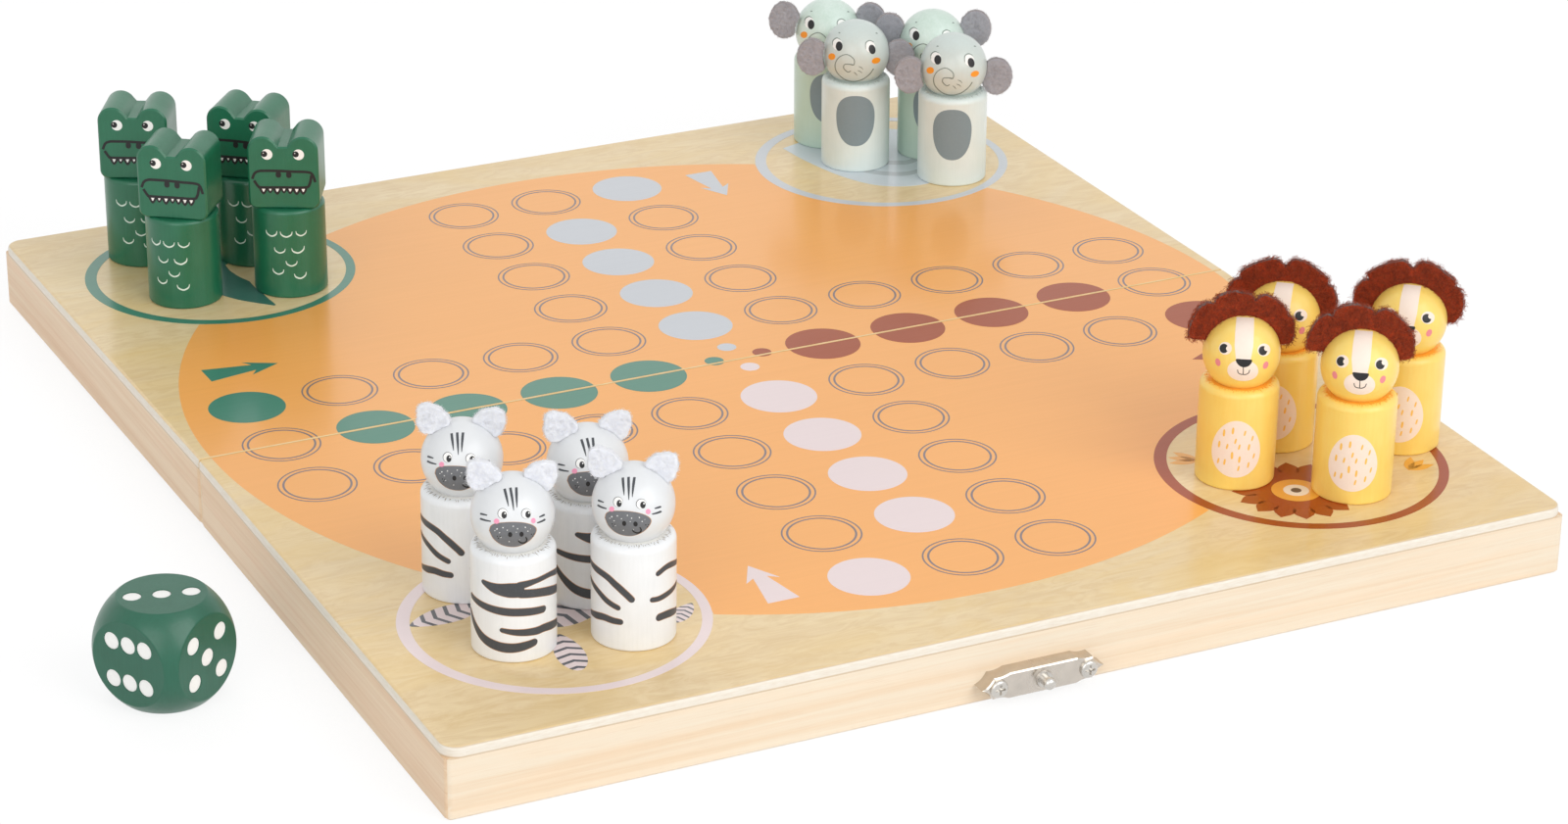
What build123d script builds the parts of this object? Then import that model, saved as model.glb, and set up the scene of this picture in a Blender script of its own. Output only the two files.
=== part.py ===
from build123d import *
from math import asin, cos, radians, sin
import os

# A folding ludo board box: two shallow wooden trays, hinged rim to rim, opened flat and face up,
# with sixteen pawns standing on it and a die beside it. Millimetres.
# Origin: the middle of the fold axis. +X along the fold, -Y to the side with the catch, +Z up.
# The hinge knuckles stand proud of the rims, so each tray leans down from the fold to its far edge.

# Trays
width = 270.0
half_depth = 148.5
ply = 2.5
panel_corner = 4.0
panel_round = 0.9
seam_round = 0.3
rail_height = 14.0
rail_thick = 8.0
rail_corner = 1.5
rim_chamfer = 0.5
seam_gap = 0.05

# Hinges, two along the fold
hinge_x = 85.0
leaf_length = 24.0
leaf_reach = 7.0
leaf_thick = 0.8
knuckle_radius = 1.6
knuckle_gap = 0.15
knuckle_clearance = 0.25
pin_radius = 0.7
running_gap = 0.04
seat_gap = 0.1

# Countersunk screws of the hinges and of the hook plate
small_head_radius = 1.7
small_shank_radius = 0.9
small_screw_length = 7.5
small_head_height = small_head_radius - small_shank_radius
leaf_screw_y = 4.4
leaf_screw_pitch = 14.0
pilot_gap = 0.03

# Catch plate and hook plate: pressed sheet cups with pointed ends
plate_tip = 14.75
plate_shoulder = (12.0, 2.55)
plate_waist = (8.2, 3.05)
plate_end_hollow = 0.3
plate_side_hollow = 0.3
plate_rise = 3.8
plate_sheet = 0.7
plate_edge = 0.3
plate_height = 4.7
plate_screw_x = 10.85
pan_head_radius = 2.05
pan_head_rise = 0.9
pan_shank_radius = 1.0
screw_depth = 6.0
cross_length = 2.3
cross_width = 0.5
cross_depth = 0.6
crown_share = 0.75

# Catch stud and the hook that swings onto it
stud_collar_radius = 2.0
stud_collar_rise = 0.6
stud_neck_radius = 1.15
stud_neck_rise = 2.2
stud_dome_radius = 1.4
tail_radius = 1.6
tail_thick = 0.6
arm_thick = 1.0
arm_lift = 1.0
arm_eye_radius = 2.7
arm_width = 3.4
arm_tip_radius = 3.6
arm_throw = 2 * plate_height
arm_mouth = 2.7
arm_mouth_angle = 40.0
rivet_radius = 1.25
rivet_head_radius = 2.1
rivet_head_rise = 0.7
arm_play = 0.1

# Pawns: a turned body with a ball glued in its dished top, or with a block on a peg
pawn_radius = 9.0
body_height = 24.0
body_shoulder = 1.6
body_foot = 0.5
ball_radius = 8.75
ball_centre = 30.4
glue_gap = 0.02

# Felt trims, seen from in front, measured from the middle of the ball. Polar pairs are radius and degrees.
felt = 1.6
ear_corners = [(3.0, 7.4), (6.7, 12.7), (9.7, 12.2), (10.3, 5.6), (8.6, 3.9), (6.0, 5.2)]
ear_round = 1.2
trunk_ear_radii = (4.1, 5.0)
trunk_ear_out = 11.3
trunk_ear_lifts = [(-0.3, -1.3), (-1.4, -2.8), (3.7, 3.2), (2.9, 4.1)]
mane_notches = [(8.6, -4), (12.6, 41), (12.6, 91), (12.6, 139), (8.6, 184)]
mane_lobes = [(13.6, 13), (14.7, 66), (14.7, 116), (13.6, 167)]
mane_root = (7.0, 90)
ears_behind = 1.0
zebra_ear_ahead = 0.6
trunk_ears_ahead = (2.6, 2.6, 2.6, 0.0)
mane_behind = 1.7

# Crocodile pawns
stump_height = 22.8
stump_shoulder = 1.0
peg_radius = 2.5
peg_height = 4.0
block_width = 17.3
block_height = 18.6
block_depth = 13.4
block_corner = 2.0
block_edge = 0.4
hump_radius = 3.7
groove_half_width = 1.1
groove_depth = 2.6

# Die: a cube cut down by a ball
die_side = 23.5
die_ball_radius = 15.2
die_edge = 0.5
pip_radius = 2.0
pip_offset = 4.4
pip_depth = 0.25
die_place = (-167.8, -71.4)
die_turn = 31.8

# Where each pawn stands, as X, Y and the turn of its face away from -Y
herds = {
    "zebra": [(-104.6, -111.7, -23), (-79.8, -117.5, -32), (-104.0, -82.8, -29), (-80.9, -96.2, -18)],
    "lion": [(75.7, -103.4, -22), (96.0, -120.6, -28), (120.1, -103.3, -34), (94.3, -90.3, -32)],
    "elephant": [(86.3, 108.2, -29), (104.5, 87.9, -27), (87.4, 127.0, -32), (108.4, 107.1, -31)],
    "crocodile": [(-105.2, 94.3, -36), (-79.3, 89.8, -27), (-105.6, 124.8, -29), (-80.6, 113.0, -39)],
}

lean = asin(knuckle_radius / half_depth)
playing_height = rail_height + ply
floor_z = -knuckle_radius
hinges = {"left": -hinge_x, "right": hinge_x}
third = leaf_length / 3
knuckles = {"front": (0,), "back": (-third, third)}
knuckle_length = third - knuckle_gap

# A tray's plane lies on its rim: x along the fold, y away from it, z up through the panel.
trays = {
    "front": Plane(origin=(0, 0, 0), x_dir=(-1, 0, 0), z_dir=(0, -sin(lean), cos(lean))),
    "back": Plane(origin=(0, 0, 0), x_dir=(1, 0, 0), z_dir=(0, sin(lean), cos(lean))),
}

# Turned pieces grow outwards or inwards from the plane that they stand on.
outwards = (Align.CENTER, Align.CENTER, Align.MIN)
inwards = (Align.CENTER, Align.CENTER, Align.MAX)

os.makedirs("parts", exist_ok=True)


def save(piece, name):
    piece.part.label = name
    export_step(piece.part, f"parts/{name}.step")


def along(tray, x):
    # A place along the fold, in the tray's own x
    return x * tray.x_dir.X


def across_plane(tray, x):
    # Stands across the fold: x away from the fold, y up
    return Plane(origin=tray.from_local_coords((x, 0, 0)), x_dir=tray.y_dir, z_dir=tray.x_dir)


def under_plane(tray, x, y, z=0.0):
    # Faces down at a point of the tray or pawn
    return Plane(origin=tray.from_local_coords((x, y, z)), x_dir=tray.x_dir, z_dir=-tray.z_dir)


def outer_plane(tray):
    # On the tray's far face at the height of the plates, seen from outside: x right, y up
    origin = tray.from_local_coords((0, half_depth, plate_height))
    return Plane(origin=origin, x_dir=-tray.x_dir, z_dir=tray.y_dir)


def standing_plane(x, y, turn):
    # On the playing surface under a pawn, whose face looks along -y
    tray = trays["front"] if y < 0 else trays["back"]
    origin = tray.from_local_coords((along(tray, x), abs(y), playing_height))
    heading = (cos(radians(turn)), sin(radians(turn)), 0)
    return Plane(origin=origin, x_dir=heading, z_dir=tray.z_dir)


def face_plane(pawn, height, forward=0.0):
    # Stands across a pawn's gaze: x to the viewer's right, y up, z towards the viewer
    origin = pawn.from_local_coords((0, -forward, height))
    return Plane(origin=origin, x_dir=pawn.x_dir, z_dir=-pawn.y_dir)


def polar(radius, degrees_up):
    return (radius * cos(radians(degrees_up)), radius * sin(radians(degrees_up)))


# Panels: one square of plywood, its printed face up, rounded all round and then cut in two at the fold
for side, tray in trays.items():
    upwards = Axis(tray.origin, tray.z_dir)
    cut = Plane(origin=tray.from_local_coords((0, seam_gap, 0)), x_dir=tray.x_dir, z_dir=tray.y_dir)
    with BuildPart() as panel:
        with BuildSketch(tray.offset(rail_height)):
            RectangleRounded(width, 2 * half_depth, panel_corner)
        extrude(amount=ply)
        fillet(panel.faces().sort_by(upwards)[-1].edges(), panel_round)
        split(bisect_by=cut, keep=Keep.TOP)
        cut_face = panel.faces().sort_by(Axis(cut.origin, cut.z_dir))[0]
        fillet(cut_face.edges().sort_by(upwards)[3:], seam_round)
    save(panel, f"{side}_panel")

# Rails: four mitred sticks under each panel
for side, tray in trays.items():
    near, far = seam_gap, half_depth
    outer = [(-width / 2, near), (width / 2, near), (width / 2, far), (-width / 2, far)]
    inward = [(1, 1), (-1, 1), (-1, -1), (1, -1)]
    inner = [(x + dx * rail_thick, y + dy * rail_thick) for (x, y), (dx, dy) in zip(outer, inward)]
    ends = ("left", "right") if side == "front" else ("right", "left")
    for i, name in enumerate(("seam", ends[0], "far", ends[1])):
        j = (i + 1) % 4
        with BuildPart() as rail:
            with BuildSketch(tray):
                with Locations((0, (near + far) / 2)):
                    RectangleRounded(width, far - near, rail_corner)
                Polygon(outer[i], outer[j], inner[j], inner[i], align=None, mode=Mode.INTERSECT)
            extrude(amount=rail_height)
            rim = rail.faces().sort_by(Axis(tray.origin, tray.z_dir))[0]
            if name != "seam":
                chamfer(rim.edges().sort_by(SortBy.LENGTH)[-1], rim_chamfer)
            else:
                seat = leaf_length + 2 * seat_gap
                notch = knuckle_radius + knuckle_clearance
                hinge_spots = [(along(tray, x), 0) for x in hinges.values()]
                with BuildSketch(tray):
                    with Locations(*hinge_spots):
                        Rectangle(seat, leaf_reach + seat_gap, align=(Align.CENTER, Align.MIN))
                extrude(amount=leaf_thick, mode=Mode.SUBTRACT)
                with BuildSketch(tray):
                    with Locations(*hinge_spots):
                        Rectangle(seat, notch, align=(Align.CENTER, Align.MIN))
                extrude(amount=notch, mode=Mode.SUBTRACT)
                for x, _ in hinge_spots:
                    with Locations(under_plane(tray, x, leaf_screw_y, leaf_thick)):
                        with GridLocations(leaf_screw_pitch, 1, 2, 1):
                            Hole(small_shank_radius + pilot_gap, small_screw_length)
            if name == "far":
                shank = pan_shank_radius if side == "front" else small_shank_radius
                with Locations(outer_plane(tray)):
                    with GridLocations(2 * plate_screw_x, 1, 2, 1):
                        Hole(shank + pilot_gap, screw_depth + seat_gap)
        save(rail, f"{side}_{name}_rail")

# Hinge leaves, let into the rims, with the front leaf's knuckle between the back leaf's two
for side, tray in trays.items():
    for end, hinge in hinges.items():
        x = along(tray, hinge)
        inner_edge = knuckle_radius + knuckle_clearance
        with BuildPart() as leaf:
            with BuildSketch(tray):
                with Locations((x, inner_edge)):
                    Rectangle(leaf_length, leaf_reach - inner_edge, align=(Align.CENTER, Align.MIN))
            extrude(amount=leaf_thick)
            for middle in knuckles[side]:
                with BuildSketch(across_plane(tray, x + middle - knuckle_length / 2)):
                    Circle(knuckle_radius)
                    Rectangle(inner_edge + leaf_thick, leaf_thick, align=(Align.MIN, Align.MIN))
                    Circle(pin_radius + running_gap, mode=Mode.SUBTRACT)
                extrude(amount=knuckle_length)
            with Locations(under_plane(tray, x, leaf_screw_y)):
                with GridLocations(leaf_screw_pitch, 1, 2, 1):
                    CounterSinkHole(small_shank_radius + seat_gap, small_head_radius + pilot_gap)
        save(leaf, f"{side}_{end}_hinge_leaf")

for end, hinge in hinges.items():
    with BuildPart() as pin:
        with BuildSketch(Plane.YZ.offset(hinge - leaf_length / 2)):
            Circle(pin_radius)
        extrude(amount=leaf_length)
        chamfer(pin.edges().filter_by(GeomType.CIRCLE), pin_radius / 4)
    save(pin, f"{end}_hinge_pin")


def cross_recess(top):
    with Locations((0, 0, top)):
        Box(cross_length, cross_width, cross_depth, align=inwards, mode=Mode.SUBTRACT)
        Box(cross_width, cross_length, cross_depth, align=inwards, mode=Mode.SUBTRACT)


def countersunk_screw(length):
    # Flat head flush with its location, tapered point
    point = 2 * small_shank_radius
    Cylinder(small_shank_radius, length - point, align=inwards)
    with Locations((0, 0, point - length)):
        Cone(small_shank_radius / 3, small_shank_radius, point, align=inwards)
    Cone(small_shank_radius, small_head_radius, small_head_height, align=inwards)
    cross_recess(0.0)


def rivet_tail():
    # Through the plate's sheet and headed over behind it
    Cylinder(stud_neck_radius, plate_sheet, align=inwards)
    with Locations((0, 0, -plate_sheet)):
        Cylinder(tail_radius, tail_thick, align=inwards)


for side, tray in trays.items():
    with BuildPart() as hinge_screws:
        for hinge in hinges.values():
            with Locations(under_plane(tray, along(tray, hinge), leaf_screw_y)):
                with GridLocations(leaf_screw_pitch, 1, 2, 1):
                    countersunk_screw(small_screw_length)
    save(hinge_screws, f"{side}_hinge_screws")


def plate_outline():
    # A long plate with hollow sides near its ends and a point at each end
    shoulder, waist, tip = Vector(*plate_shoulder), Vector(*plate_waist), Vector(plate_tip, 0)
    side_middle = (waist + shoulder) / 2 - Vector(0, plate_side_hollow)
    end_middle = (shoulder + tip) / 2 - Vector(plate_end_hollow, plate_end_hollow)
    with BuildSketch() as outline:
        with BuildLine():
            Line((0, waist.Y), waist)
            ThreePointArc(waist, side_middle, shoulder)
            ThreePointArc(shoulder, end_middle, tip)
            mirror(about=Plane.YZ)
            mirror(about=Plane.XZ)
        make_face()
    return outline.sketch


def plate_cup(place, middle_hole):
    # A pressed plate that opens towards the wood, with a hole for its stud or rivet
    with BuildPart() as cup:
        with BuildSketch(place):
            add(plate_outline())
        extrude(amount=plate_rise)
        chamfer(cup.faces().sort_by(Axis(place.origin, place.z_dir))[-1].edges(), plate_edge)
        with BuildSketch(place):
            add(plate_outline())
            offset(amount=-plate_sheet, kind=Kind.INTERSECTION, mode=Mode.REPLACE)
        extrude(amount=plate_rise - plate_sheet, mode=Mode.SUBTRACT)
        with Locations(place.offset(plate_rise)):
            Hole(middle_hole, plate_rise)
    return cup.part


# Catch plate, its stud and its two screws, on the front tray
catch = outer_plane(trays["front"])
with BuildPart() as catch_plate:
    add(plate_cup(catch, stud_neck_radius + glue_gap))
    with Locations(catch.offset(plate_rise)):
        with GridLocations(2 * plate_screw_x, 1, 2, 1):
            Hole(pan_shank_radius + seat_gap, plate_rise)
save(catch_plate, "catch_plate")

with BuildPart() as catch_stud:
    with Locations(catch.offset(plate_rise)):
        rivet_tail()
        Cone(stud_collar_radius, stud_collar_radius - stud_collar_rise / 3, stud_collar_rise, align=outwards)
        Cylinder(stud_neck_radius, stud_neck_rise, align=outwards)
        with Locations((0, 0, stud_neck_rise)):
            Cylinder(stud_dome_radius, stud_dome_radius, align=outwards)
    crown = catch_stud.edges().filter_by(GeomType.CIRCLE).sort_by(Axis(catch.origin, catch.z_dir))[-1]
    fillet(crown, stud_dome_radius * crown_share)
save(catch_stud, "catch_stud")

with BuildPart() as catch_screws:
    with Locations(catch.offset(plate_rise)):
        with GridLocations(2 * plate_screw_x, 1, 2, 1):
            Cylinder(pan_head_radius, pan_head_rise, align=outwards)
            Cylinder(pan_shank_radius, plate_rise + screw_depth - pan_shank_radius, align=inwards)
            with Locations((0, 0, pan_shank_radius - plate_rise - screw_depth)):
                Cone(pan_shank_radius / 3, pan_shank_radius, pan_shank_radius, align=inwards)
    crowns = catch_screws.edges().filter_by(GeomType.CIRCLE).group_by(Axis(catch.origin, catch.z_dir))[-1]
    fillet(crowns, pan_head_rise * crown_share)
    with Locations(catch.offset(plate_rise)):
        with GridLocations(2 * plate_screw_x, 1, 2, 1):
            cross_recess(pan_head_rise)
save(catch_screws, "catch_screws")

# Hook plate with the swinging hook on its rivet, on the back tray
hook = outer_plane(trays["back"])
with BuildPart() as hook_plate:
    add(plate_cup(hook, stud_neck_radius + glue_gap))
    with Locations(hook.offset(plate_rise)):
        with GridLocations(2 * plate_screw_x, 1, 2, 1):
            CounterSinkHole(small_shank_radius + seat_gap, small_head_radius + pilot_gap, plate_rise)
save(hook_plate, "hook_plate")

with BuildPart() as hook_screws:
    with Locations(hook.offset(plate_rise)):
        with GridLocations(2 * plate_screw_x, 1, 2, 1):
            countersunk_screw(plate_rise + screw_depth)
save(hook_screws, "hook_screws")

mouth = CenterArc((0, 0), arm_throw, -arm_mouth_angle, arm_mouth_angle)
with BuildPart() as hook_arm:
    with BuildSketch(hook.offset(plate_rise + arm_lift)):
        Circle(arm_eye_radius)
        Rectangle(arm_throw, arm_width, align=(Align.MIN, Align.CENTER))
        with Locations((arm_throw, 0)):
            Circle(arm_tip_radius)
        Circle(rivet_radius + seat_gap / 2, mode=Mode.SUBTRACT)
        SlotArc(mouth, arm_mouth, mode=Mode.SUBTRACT)
    extrude(amount=arm_thick)
save(hook_arm, "hook_arm")

with BuildPart() as hook_rivet:
    head_base = arm_lift + arm_thick + arm_play
    with Locations(hook.offset(plate_rise)):
        rivet_tail()
        Cylinder(rivet_head_radius, arm_lift - arm_play, align=outwards)
        Cylinder(rivet_radius, head_base, align=outwards)
        with Locations((0, 0, head_base)):
            Cylinder(rivet_head_radius, rivet_head_rise, align=outwards)
    crown = hook_rivet.edges().filter_by(GeomType.CIRCLE).sort_by(Axis(hook.origin, hook.z_dir))[-1]
    fillet(crown, rivet_head_rise * crown_share)
save(hook_rivet, "hook_rivet")


def turned_body(place, height, shoulder):
    with Locations(place):
        Cylinder(pawn_radius, height, align=outwards)
    rims = edges().filter_by(GeomType.CIRCLE).sort_by(Axis(place.origin, place.z_dir))
    fillet(rims[-1], shoulder)
    fillet(rims[0], body_foot)


def flipped(point):
    return (-point[0], point[1])


def zebra_ear(corners):
    # Narrow where it leaves the ball, widening to a blunt outer end
    with BuildSketch() as ear:
        Polygon(*corners, align=None)
        fillet(ear.vertices().sort_by_distance((0, 0))[2:], ear_round)
    return ear.sketch


def zebra_ears(index):
    # The left ear is glued a little ahead of the right one
    left = zebra_ear([flipped(corner) for corner in ear_corners])
    return [(left, zebra_ear_ahead), (zebra_ear(ear_corners), -ears_behind)]


def elephant_ears(index):
    # The two pawns in front carry their ears lower than the two behind
    ears = []
    for side, lift, ahead in zip((-1, 1), trunk_ear_lifts[index], (trunk_ears_ahead[index], -ears_behind)):
        with BuildSketch() as ear:
            with Locations((side * trunk_ear_out, lift)):
                Ellipse(*trunk_ear_radii)
        ears.append((ear.sketch, ahead))
    return ears


def lion_mane(index):
    # Four lobes between three notches, from one side of the ball over its top to the other
    with BuildSketch() as mane:
        with BuildLine():
            for start, lobe, stop in zip(mane_notches, mane_lobes, mane_notches[1:]):
                ThreePointArc(polar(*start), polar(*lobe), polar(*stop))
            ThreePointArc(polar(*mane_notches[-1]), polar(*mane_root), polar(*mane_notches[0]))
        make_face()
    return [(mane.sketch, -mane_behind)]


# Each ball pawn is two solids, the turned body and the ball glued into its dished top.
# Its felt ears or mane stand across its gaze, each a little ahead of the ball's middle or behind it.
trims = {
    "zebra": (zebra_ears, "ears"),
    "elephant": (elephant_ears, "ears"),
    "lion": (lion_mane, "mane"),
}
for animal, (outlines, trim_name) in trims.items():
    for index, spot in enumerate(herds[animal]):
        place = standing_plane(*spot)
        with BuildPart() as pawn:
            turned_body(place, body_height, body_shoulder)
            with Locations(place.offset(ball_centre)):
                Sphere(ball_radius + glue_gap, mode=Mode.SUBTRACT)
                Sphere(ball_radius)
        save(pawn, f"{animal}_pawn_{index + 1}")
        with BuildPart() as trim:
            for outline, ahead in outlines(index):
                with BuildSketch(face_plane(place, ball_centre, ahead)):
                    add(outline)
                extrude(amount=felt)
            with Locations(place.offset(ball_centre)):
                Sphere(ball_radius + glue_gap, mode=Mode.SUBTRACT)
        save(trim, f"{animal}_pawn_{index + 1}_{trim_name}")

# A crocodile pawn is a stump with a block on its peg: two humps with a groove between them.
for index, spot in enumerate(herds["crocodile"], start=1):
    place = standing_plane(*spot)
    with BuildPart() as stump:
        turned_body(place, stump_height, stump_shoulder)
        with BuildSketch(place.offset(stump_height)):
            Circle(peg_radius)
        extrude(amount=peg_height)
    save(stump, f"crocodile_pawn_{index}_body")
    with BuildPart() as block:
        hump_x, hump_z = block_width / 2 - hump_radius, block_height - hump_radius
        ridge = polar(hump_radius, 45)
        with BuildSketch(face_plane(place, stump_height, block_depth / 2)):
            Rectangle(block_width, hump_z, align=(Align.CENTER, Align.MIN))
            with Locations((-hump_x, hump_z), (hump_x, hump_z)):
                Circle(hump_radius)
            Polygon(
                (-hump_x, hump_z),
                (-hump_x + ridge[0], hump_z + ridge[1]),
                (-groove_half_width, block_height - groove_depth),
                (groove_half_width, block_height - groove_depth),
                (hump_x - ridge[0], hump_z + ridge[1]),
                (hump_x, hump_z),
                align=None,
            )
            fillet(vertices().group_by(Axis.Y)[0], block_corner)
        extrude(amount=-block_depth)
        gaze = Axis(place.origin, -place.y_dir)
        chamfer(block.faces().sort_by(gaze)[0].edges() + block.faces().sort_by(gaze)[-1].edges(), block_edge)
        with Locations(under_plane(place, 0, 0, stump_height)):
            Hole(peg_radius + seat_gap / 2, peg_height + seat_gap)
    save(block, f"crocodile_pawn_{index}_head")

# Die: opposite faces add up to seven, with three on top
ground = Plane(origin=(*die_place, floor_z)).rotated((0, 0, die_turn))
o = pip_offset
pips = {
    1: [(0, 0)],
    2: [(-o, o), (o, -o)],
    3: [(-o, o), (0, 0), (o, -o)],
    4: [(-o, -o), (-o, o), (o, -o), (o, o)],
    5: [(-o, -o), (-o, o), (0, 0), (o, -o), (o, o)],
    6: [(-o, -o), (0, -o), (o, -o), (-o, o), (0, o), (o, o)],
}
centre = ground.offset(die_side / 2)
ends_out = {3: centre.z_dir, 4: -centre.z_dir}
sides_out = {1: centre.x_dir, 6: -centre.x_dir, 2: centre.y_dir, 5: -centre.y_dir}
levels = {count: (out, centre.x_dir) for count, out in ends_out.items()}
levels |= {count: (out, centre.z_dir.cross(out)) for count, out in sides_out.items()}
with BuildPart() as die:
    with Locations(centre):
        Box(die_side, die_side, die_side)
        Sphere(die_ball_radius, mode=Mode.INTERSECT)
    fillet(die.edges(), die_edge)
    for count, (out, level) in levels.items():
        with BuildSketch(Plane(origin=centre.origin + out * (die_side / 2), x_dir=level, z_dir=out)):
            with Locations(*pips[count]):
                Circle(pip_radius)
        extrude(amount=-pip_depth, mode=Mode.SUBTRACT)
save(die, "die")
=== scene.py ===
import bmesh
import bpy
import random
from math import asin, atan2, cos, hypot, pi, radians, sin, sqrt, tan
from mathutils import Matrix, Vector, noise


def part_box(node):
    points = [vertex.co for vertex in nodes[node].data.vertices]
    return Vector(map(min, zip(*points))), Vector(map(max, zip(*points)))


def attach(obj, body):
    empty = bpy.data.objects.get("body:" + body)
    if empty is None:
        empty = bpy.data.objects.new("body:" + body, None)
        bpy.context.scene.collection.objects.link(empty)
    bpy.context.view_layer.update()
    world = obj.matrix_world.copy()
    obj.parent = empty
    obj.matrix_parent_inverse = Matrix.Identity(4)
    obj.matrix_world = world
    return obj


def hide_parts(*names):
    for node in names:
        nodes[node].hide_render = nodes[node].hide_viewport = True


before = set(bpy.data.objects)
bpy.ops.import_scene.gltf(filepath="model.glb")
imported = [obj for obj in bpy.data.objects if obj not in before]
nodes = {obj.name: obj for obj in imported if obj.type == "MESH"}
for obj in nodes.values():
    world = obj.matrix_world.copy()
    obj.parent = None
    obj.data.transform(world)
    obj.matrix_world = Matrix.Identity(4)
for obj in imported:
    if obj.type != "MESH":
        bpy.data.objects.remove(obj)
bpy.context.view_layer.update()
mm = 0.001
print("frame loaded:", len(nodes), "nodes")


def placed(name, data):
    made = bpy.data.objects.new(name, data)
    bpy.context.scene.collection.objects.link(made)
    return made


def baked(holder):
    # the plain mesh that an object's modifiers give; the object goes
    shape = holder.evaluated_get(bpy.context.evaluated_depsgraph_get())
    plain = bpy.data.meshes.new_from_object(shape)
    holder.modifiers.clear()
    bpy.data.objects.remove(holder)
    return plain


def around(items):
    # each item with the next one, and the last with the first
    return zip(items, items[1:] + items[:1])


def capital(name):
    return name[0].upper() + name[1:]


def mathNode(operation, reflected=False):
    # a method that adds one Math node
    def method(wire, other=0.0):
        terms = {0: other, 1: wire} if reflected else {0: wire, 1: other}
        return wire.graph.node("ShaderNodeMath", {"operation": operation}, terms)

    return method


class Wire:
    # a socket that can stand in a sum

    __add__, __radd__ = mathNode("ADD"), mathNode("ADD", True)
    __sub__, __rsub__ = mathNode("SUBTRACT"), mathNode("SUBTRACT", True)
    __mul__, __rmul__ = mathNode("MULTIPLY"), mathNode("MULTIPLY", True)
    __pow__, __abs__ = mathNode("POWER"), mathNode("ABSOLUTE")
    over, sine, angleWith = mathNode("MAXIMUM"), mathNode("SINE"), mathNode("ARCTAN2")

    def __init__(self, graph, socket):
        self.graph = graph
        self.socket = socket

    def between(self, low, high):
        # 0 at low and 1 at high, and held there outside them
        span = {"Value": self, "From Min": low, "From Max": high}
        return self.graph.node("ShaderNodeMapRange", {}, span)


class Graph:
    # one node tree, and the one way that a node is put into it

    def __init__(self, tree):
        self.tree = tree

    def node(self, kind, settings, inputs, output=0):
        made = self.tree.nodes.new(kind)
        for name, value in settings.items():
            setattr(made, name, value)
        for name, value in inputs.items():
            self.feed(made.inputs[name], value)
        return Wire(self, made.outputs[output])

    def feed(self, socket, value):
        if isinstance(value, Wire):
            self.tree.links.new(value.socket, socket)
        else:
            socket.default_value = value

    def speckle(self, place, scale, detail=2.0, roughness=0.5, distortion=0.0):
        # noise; a scale of three numbers stretches it along the axes
        if isinstance(scale, tuple):
            place = self.node("ShaderNodeVectorMath", {"operation": "MULTIPLY"}, {0: place, 1: scale})
            scale = 1.0
        sizes = {"Scale": scale, "Detail": detail, "Roughness": roughness, "Distortion": distortion}
        return self.node("ShaderNodeTexNoise", {}, {"Vector": place, **sizes})

    def mixed(self, mask, first, second):
        return self.node("ShaderNodeMix", {"data_type": "RGBA"}, {0: mask, 6: first, 7: second}, 2)

    def axes(self, place):
        x = self.node("ShaderNodeSeparateXYZ", {}, {0: place})
        return [Wire(self, socket) for socket in x.socket.node.outputs]


def hue(colour, share=1.0):
    # a colour as a screen shows it, 0 to 255, turned to light, of which a share may be taken
    levels = [part / 255 for part in colour]
    lights = [part / 12.92 if part <= 0.04045 else ((part + 0.055) / 1.055) ** 2.4 for part in levels]
    return (*(light * share for light in lights), 1.0)


def finish(name, settings, layers):
    # settings go straight onto the shader; layers gives colour, roughness, height and the height's depth
    material = bpy.data.materials.new(name)
    material.use_nodes = True
    graph = Graph(material.node_tree)
    shader = material.node_tree.nodes["Principled BSDF"]
    for socket, value in settings.items():
        shader.inputs[socket].default_value = value
    local = graph.node("ShaderNodeTexCoord", {}, {}, "Object")
    place = graph.node("ShaderNodeVectorMath", {"operation": "SCALE"}, {0: local, "Scale": 1 / mm})
    colour, rough, height, depth = layers(graph, place)
    bump = {"Strength": 1.0, "Distance": depth * mm, "Height": height}
    varied = {"Base Color": colour, "Roughness": rough, "Normal": graph.node("ShaderNodeBump", {}, bump)}
    for socket, value in varied.items():
        graph.feed(shader.inputs[socket], value)
    return material


# Light, world, floor and camera

studio = {
    "camera": {"azimuth": -26.16, "elevation": 24.29, "roll": 0.54, "distance": 1061.1, "lens": 104.4},
    "aim": (-1.48, -28.99, 14.9),
    # where each lamp hangs, its side, the level that it gives and whether gloss shows it
    "lamps": {
        "keyLamp": ((0.55, -1.45, 1.1), 1.4, 0.43, True),
        "fillLamp": ((-1.2, -1.2, 0.85), 1.2, 0.22, True),
        "backLamp": ((0.1, 1.5, 1.3), 1.2, 0.17, False),
    },
    "skyLevel": 0.53,
    "skyShown": 1.04,
    "floor": {"half": 4.0, "height": -1.62, "white": 0.9, "shown": 0.2},
}
pureWhite = (1, 1, 1, 1)


def lightRay(kind, graph):
    return graph.node("ShaderNodeLightPath", {}, {}, f"Is {kind} Ray")


def onlookers(graph):
    # camera, mirror and see-through rays
    return lightRay("Camera", graph).over(lightRay("Glossy", graph)).over(lightRay("Transmission", graph))


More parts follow.
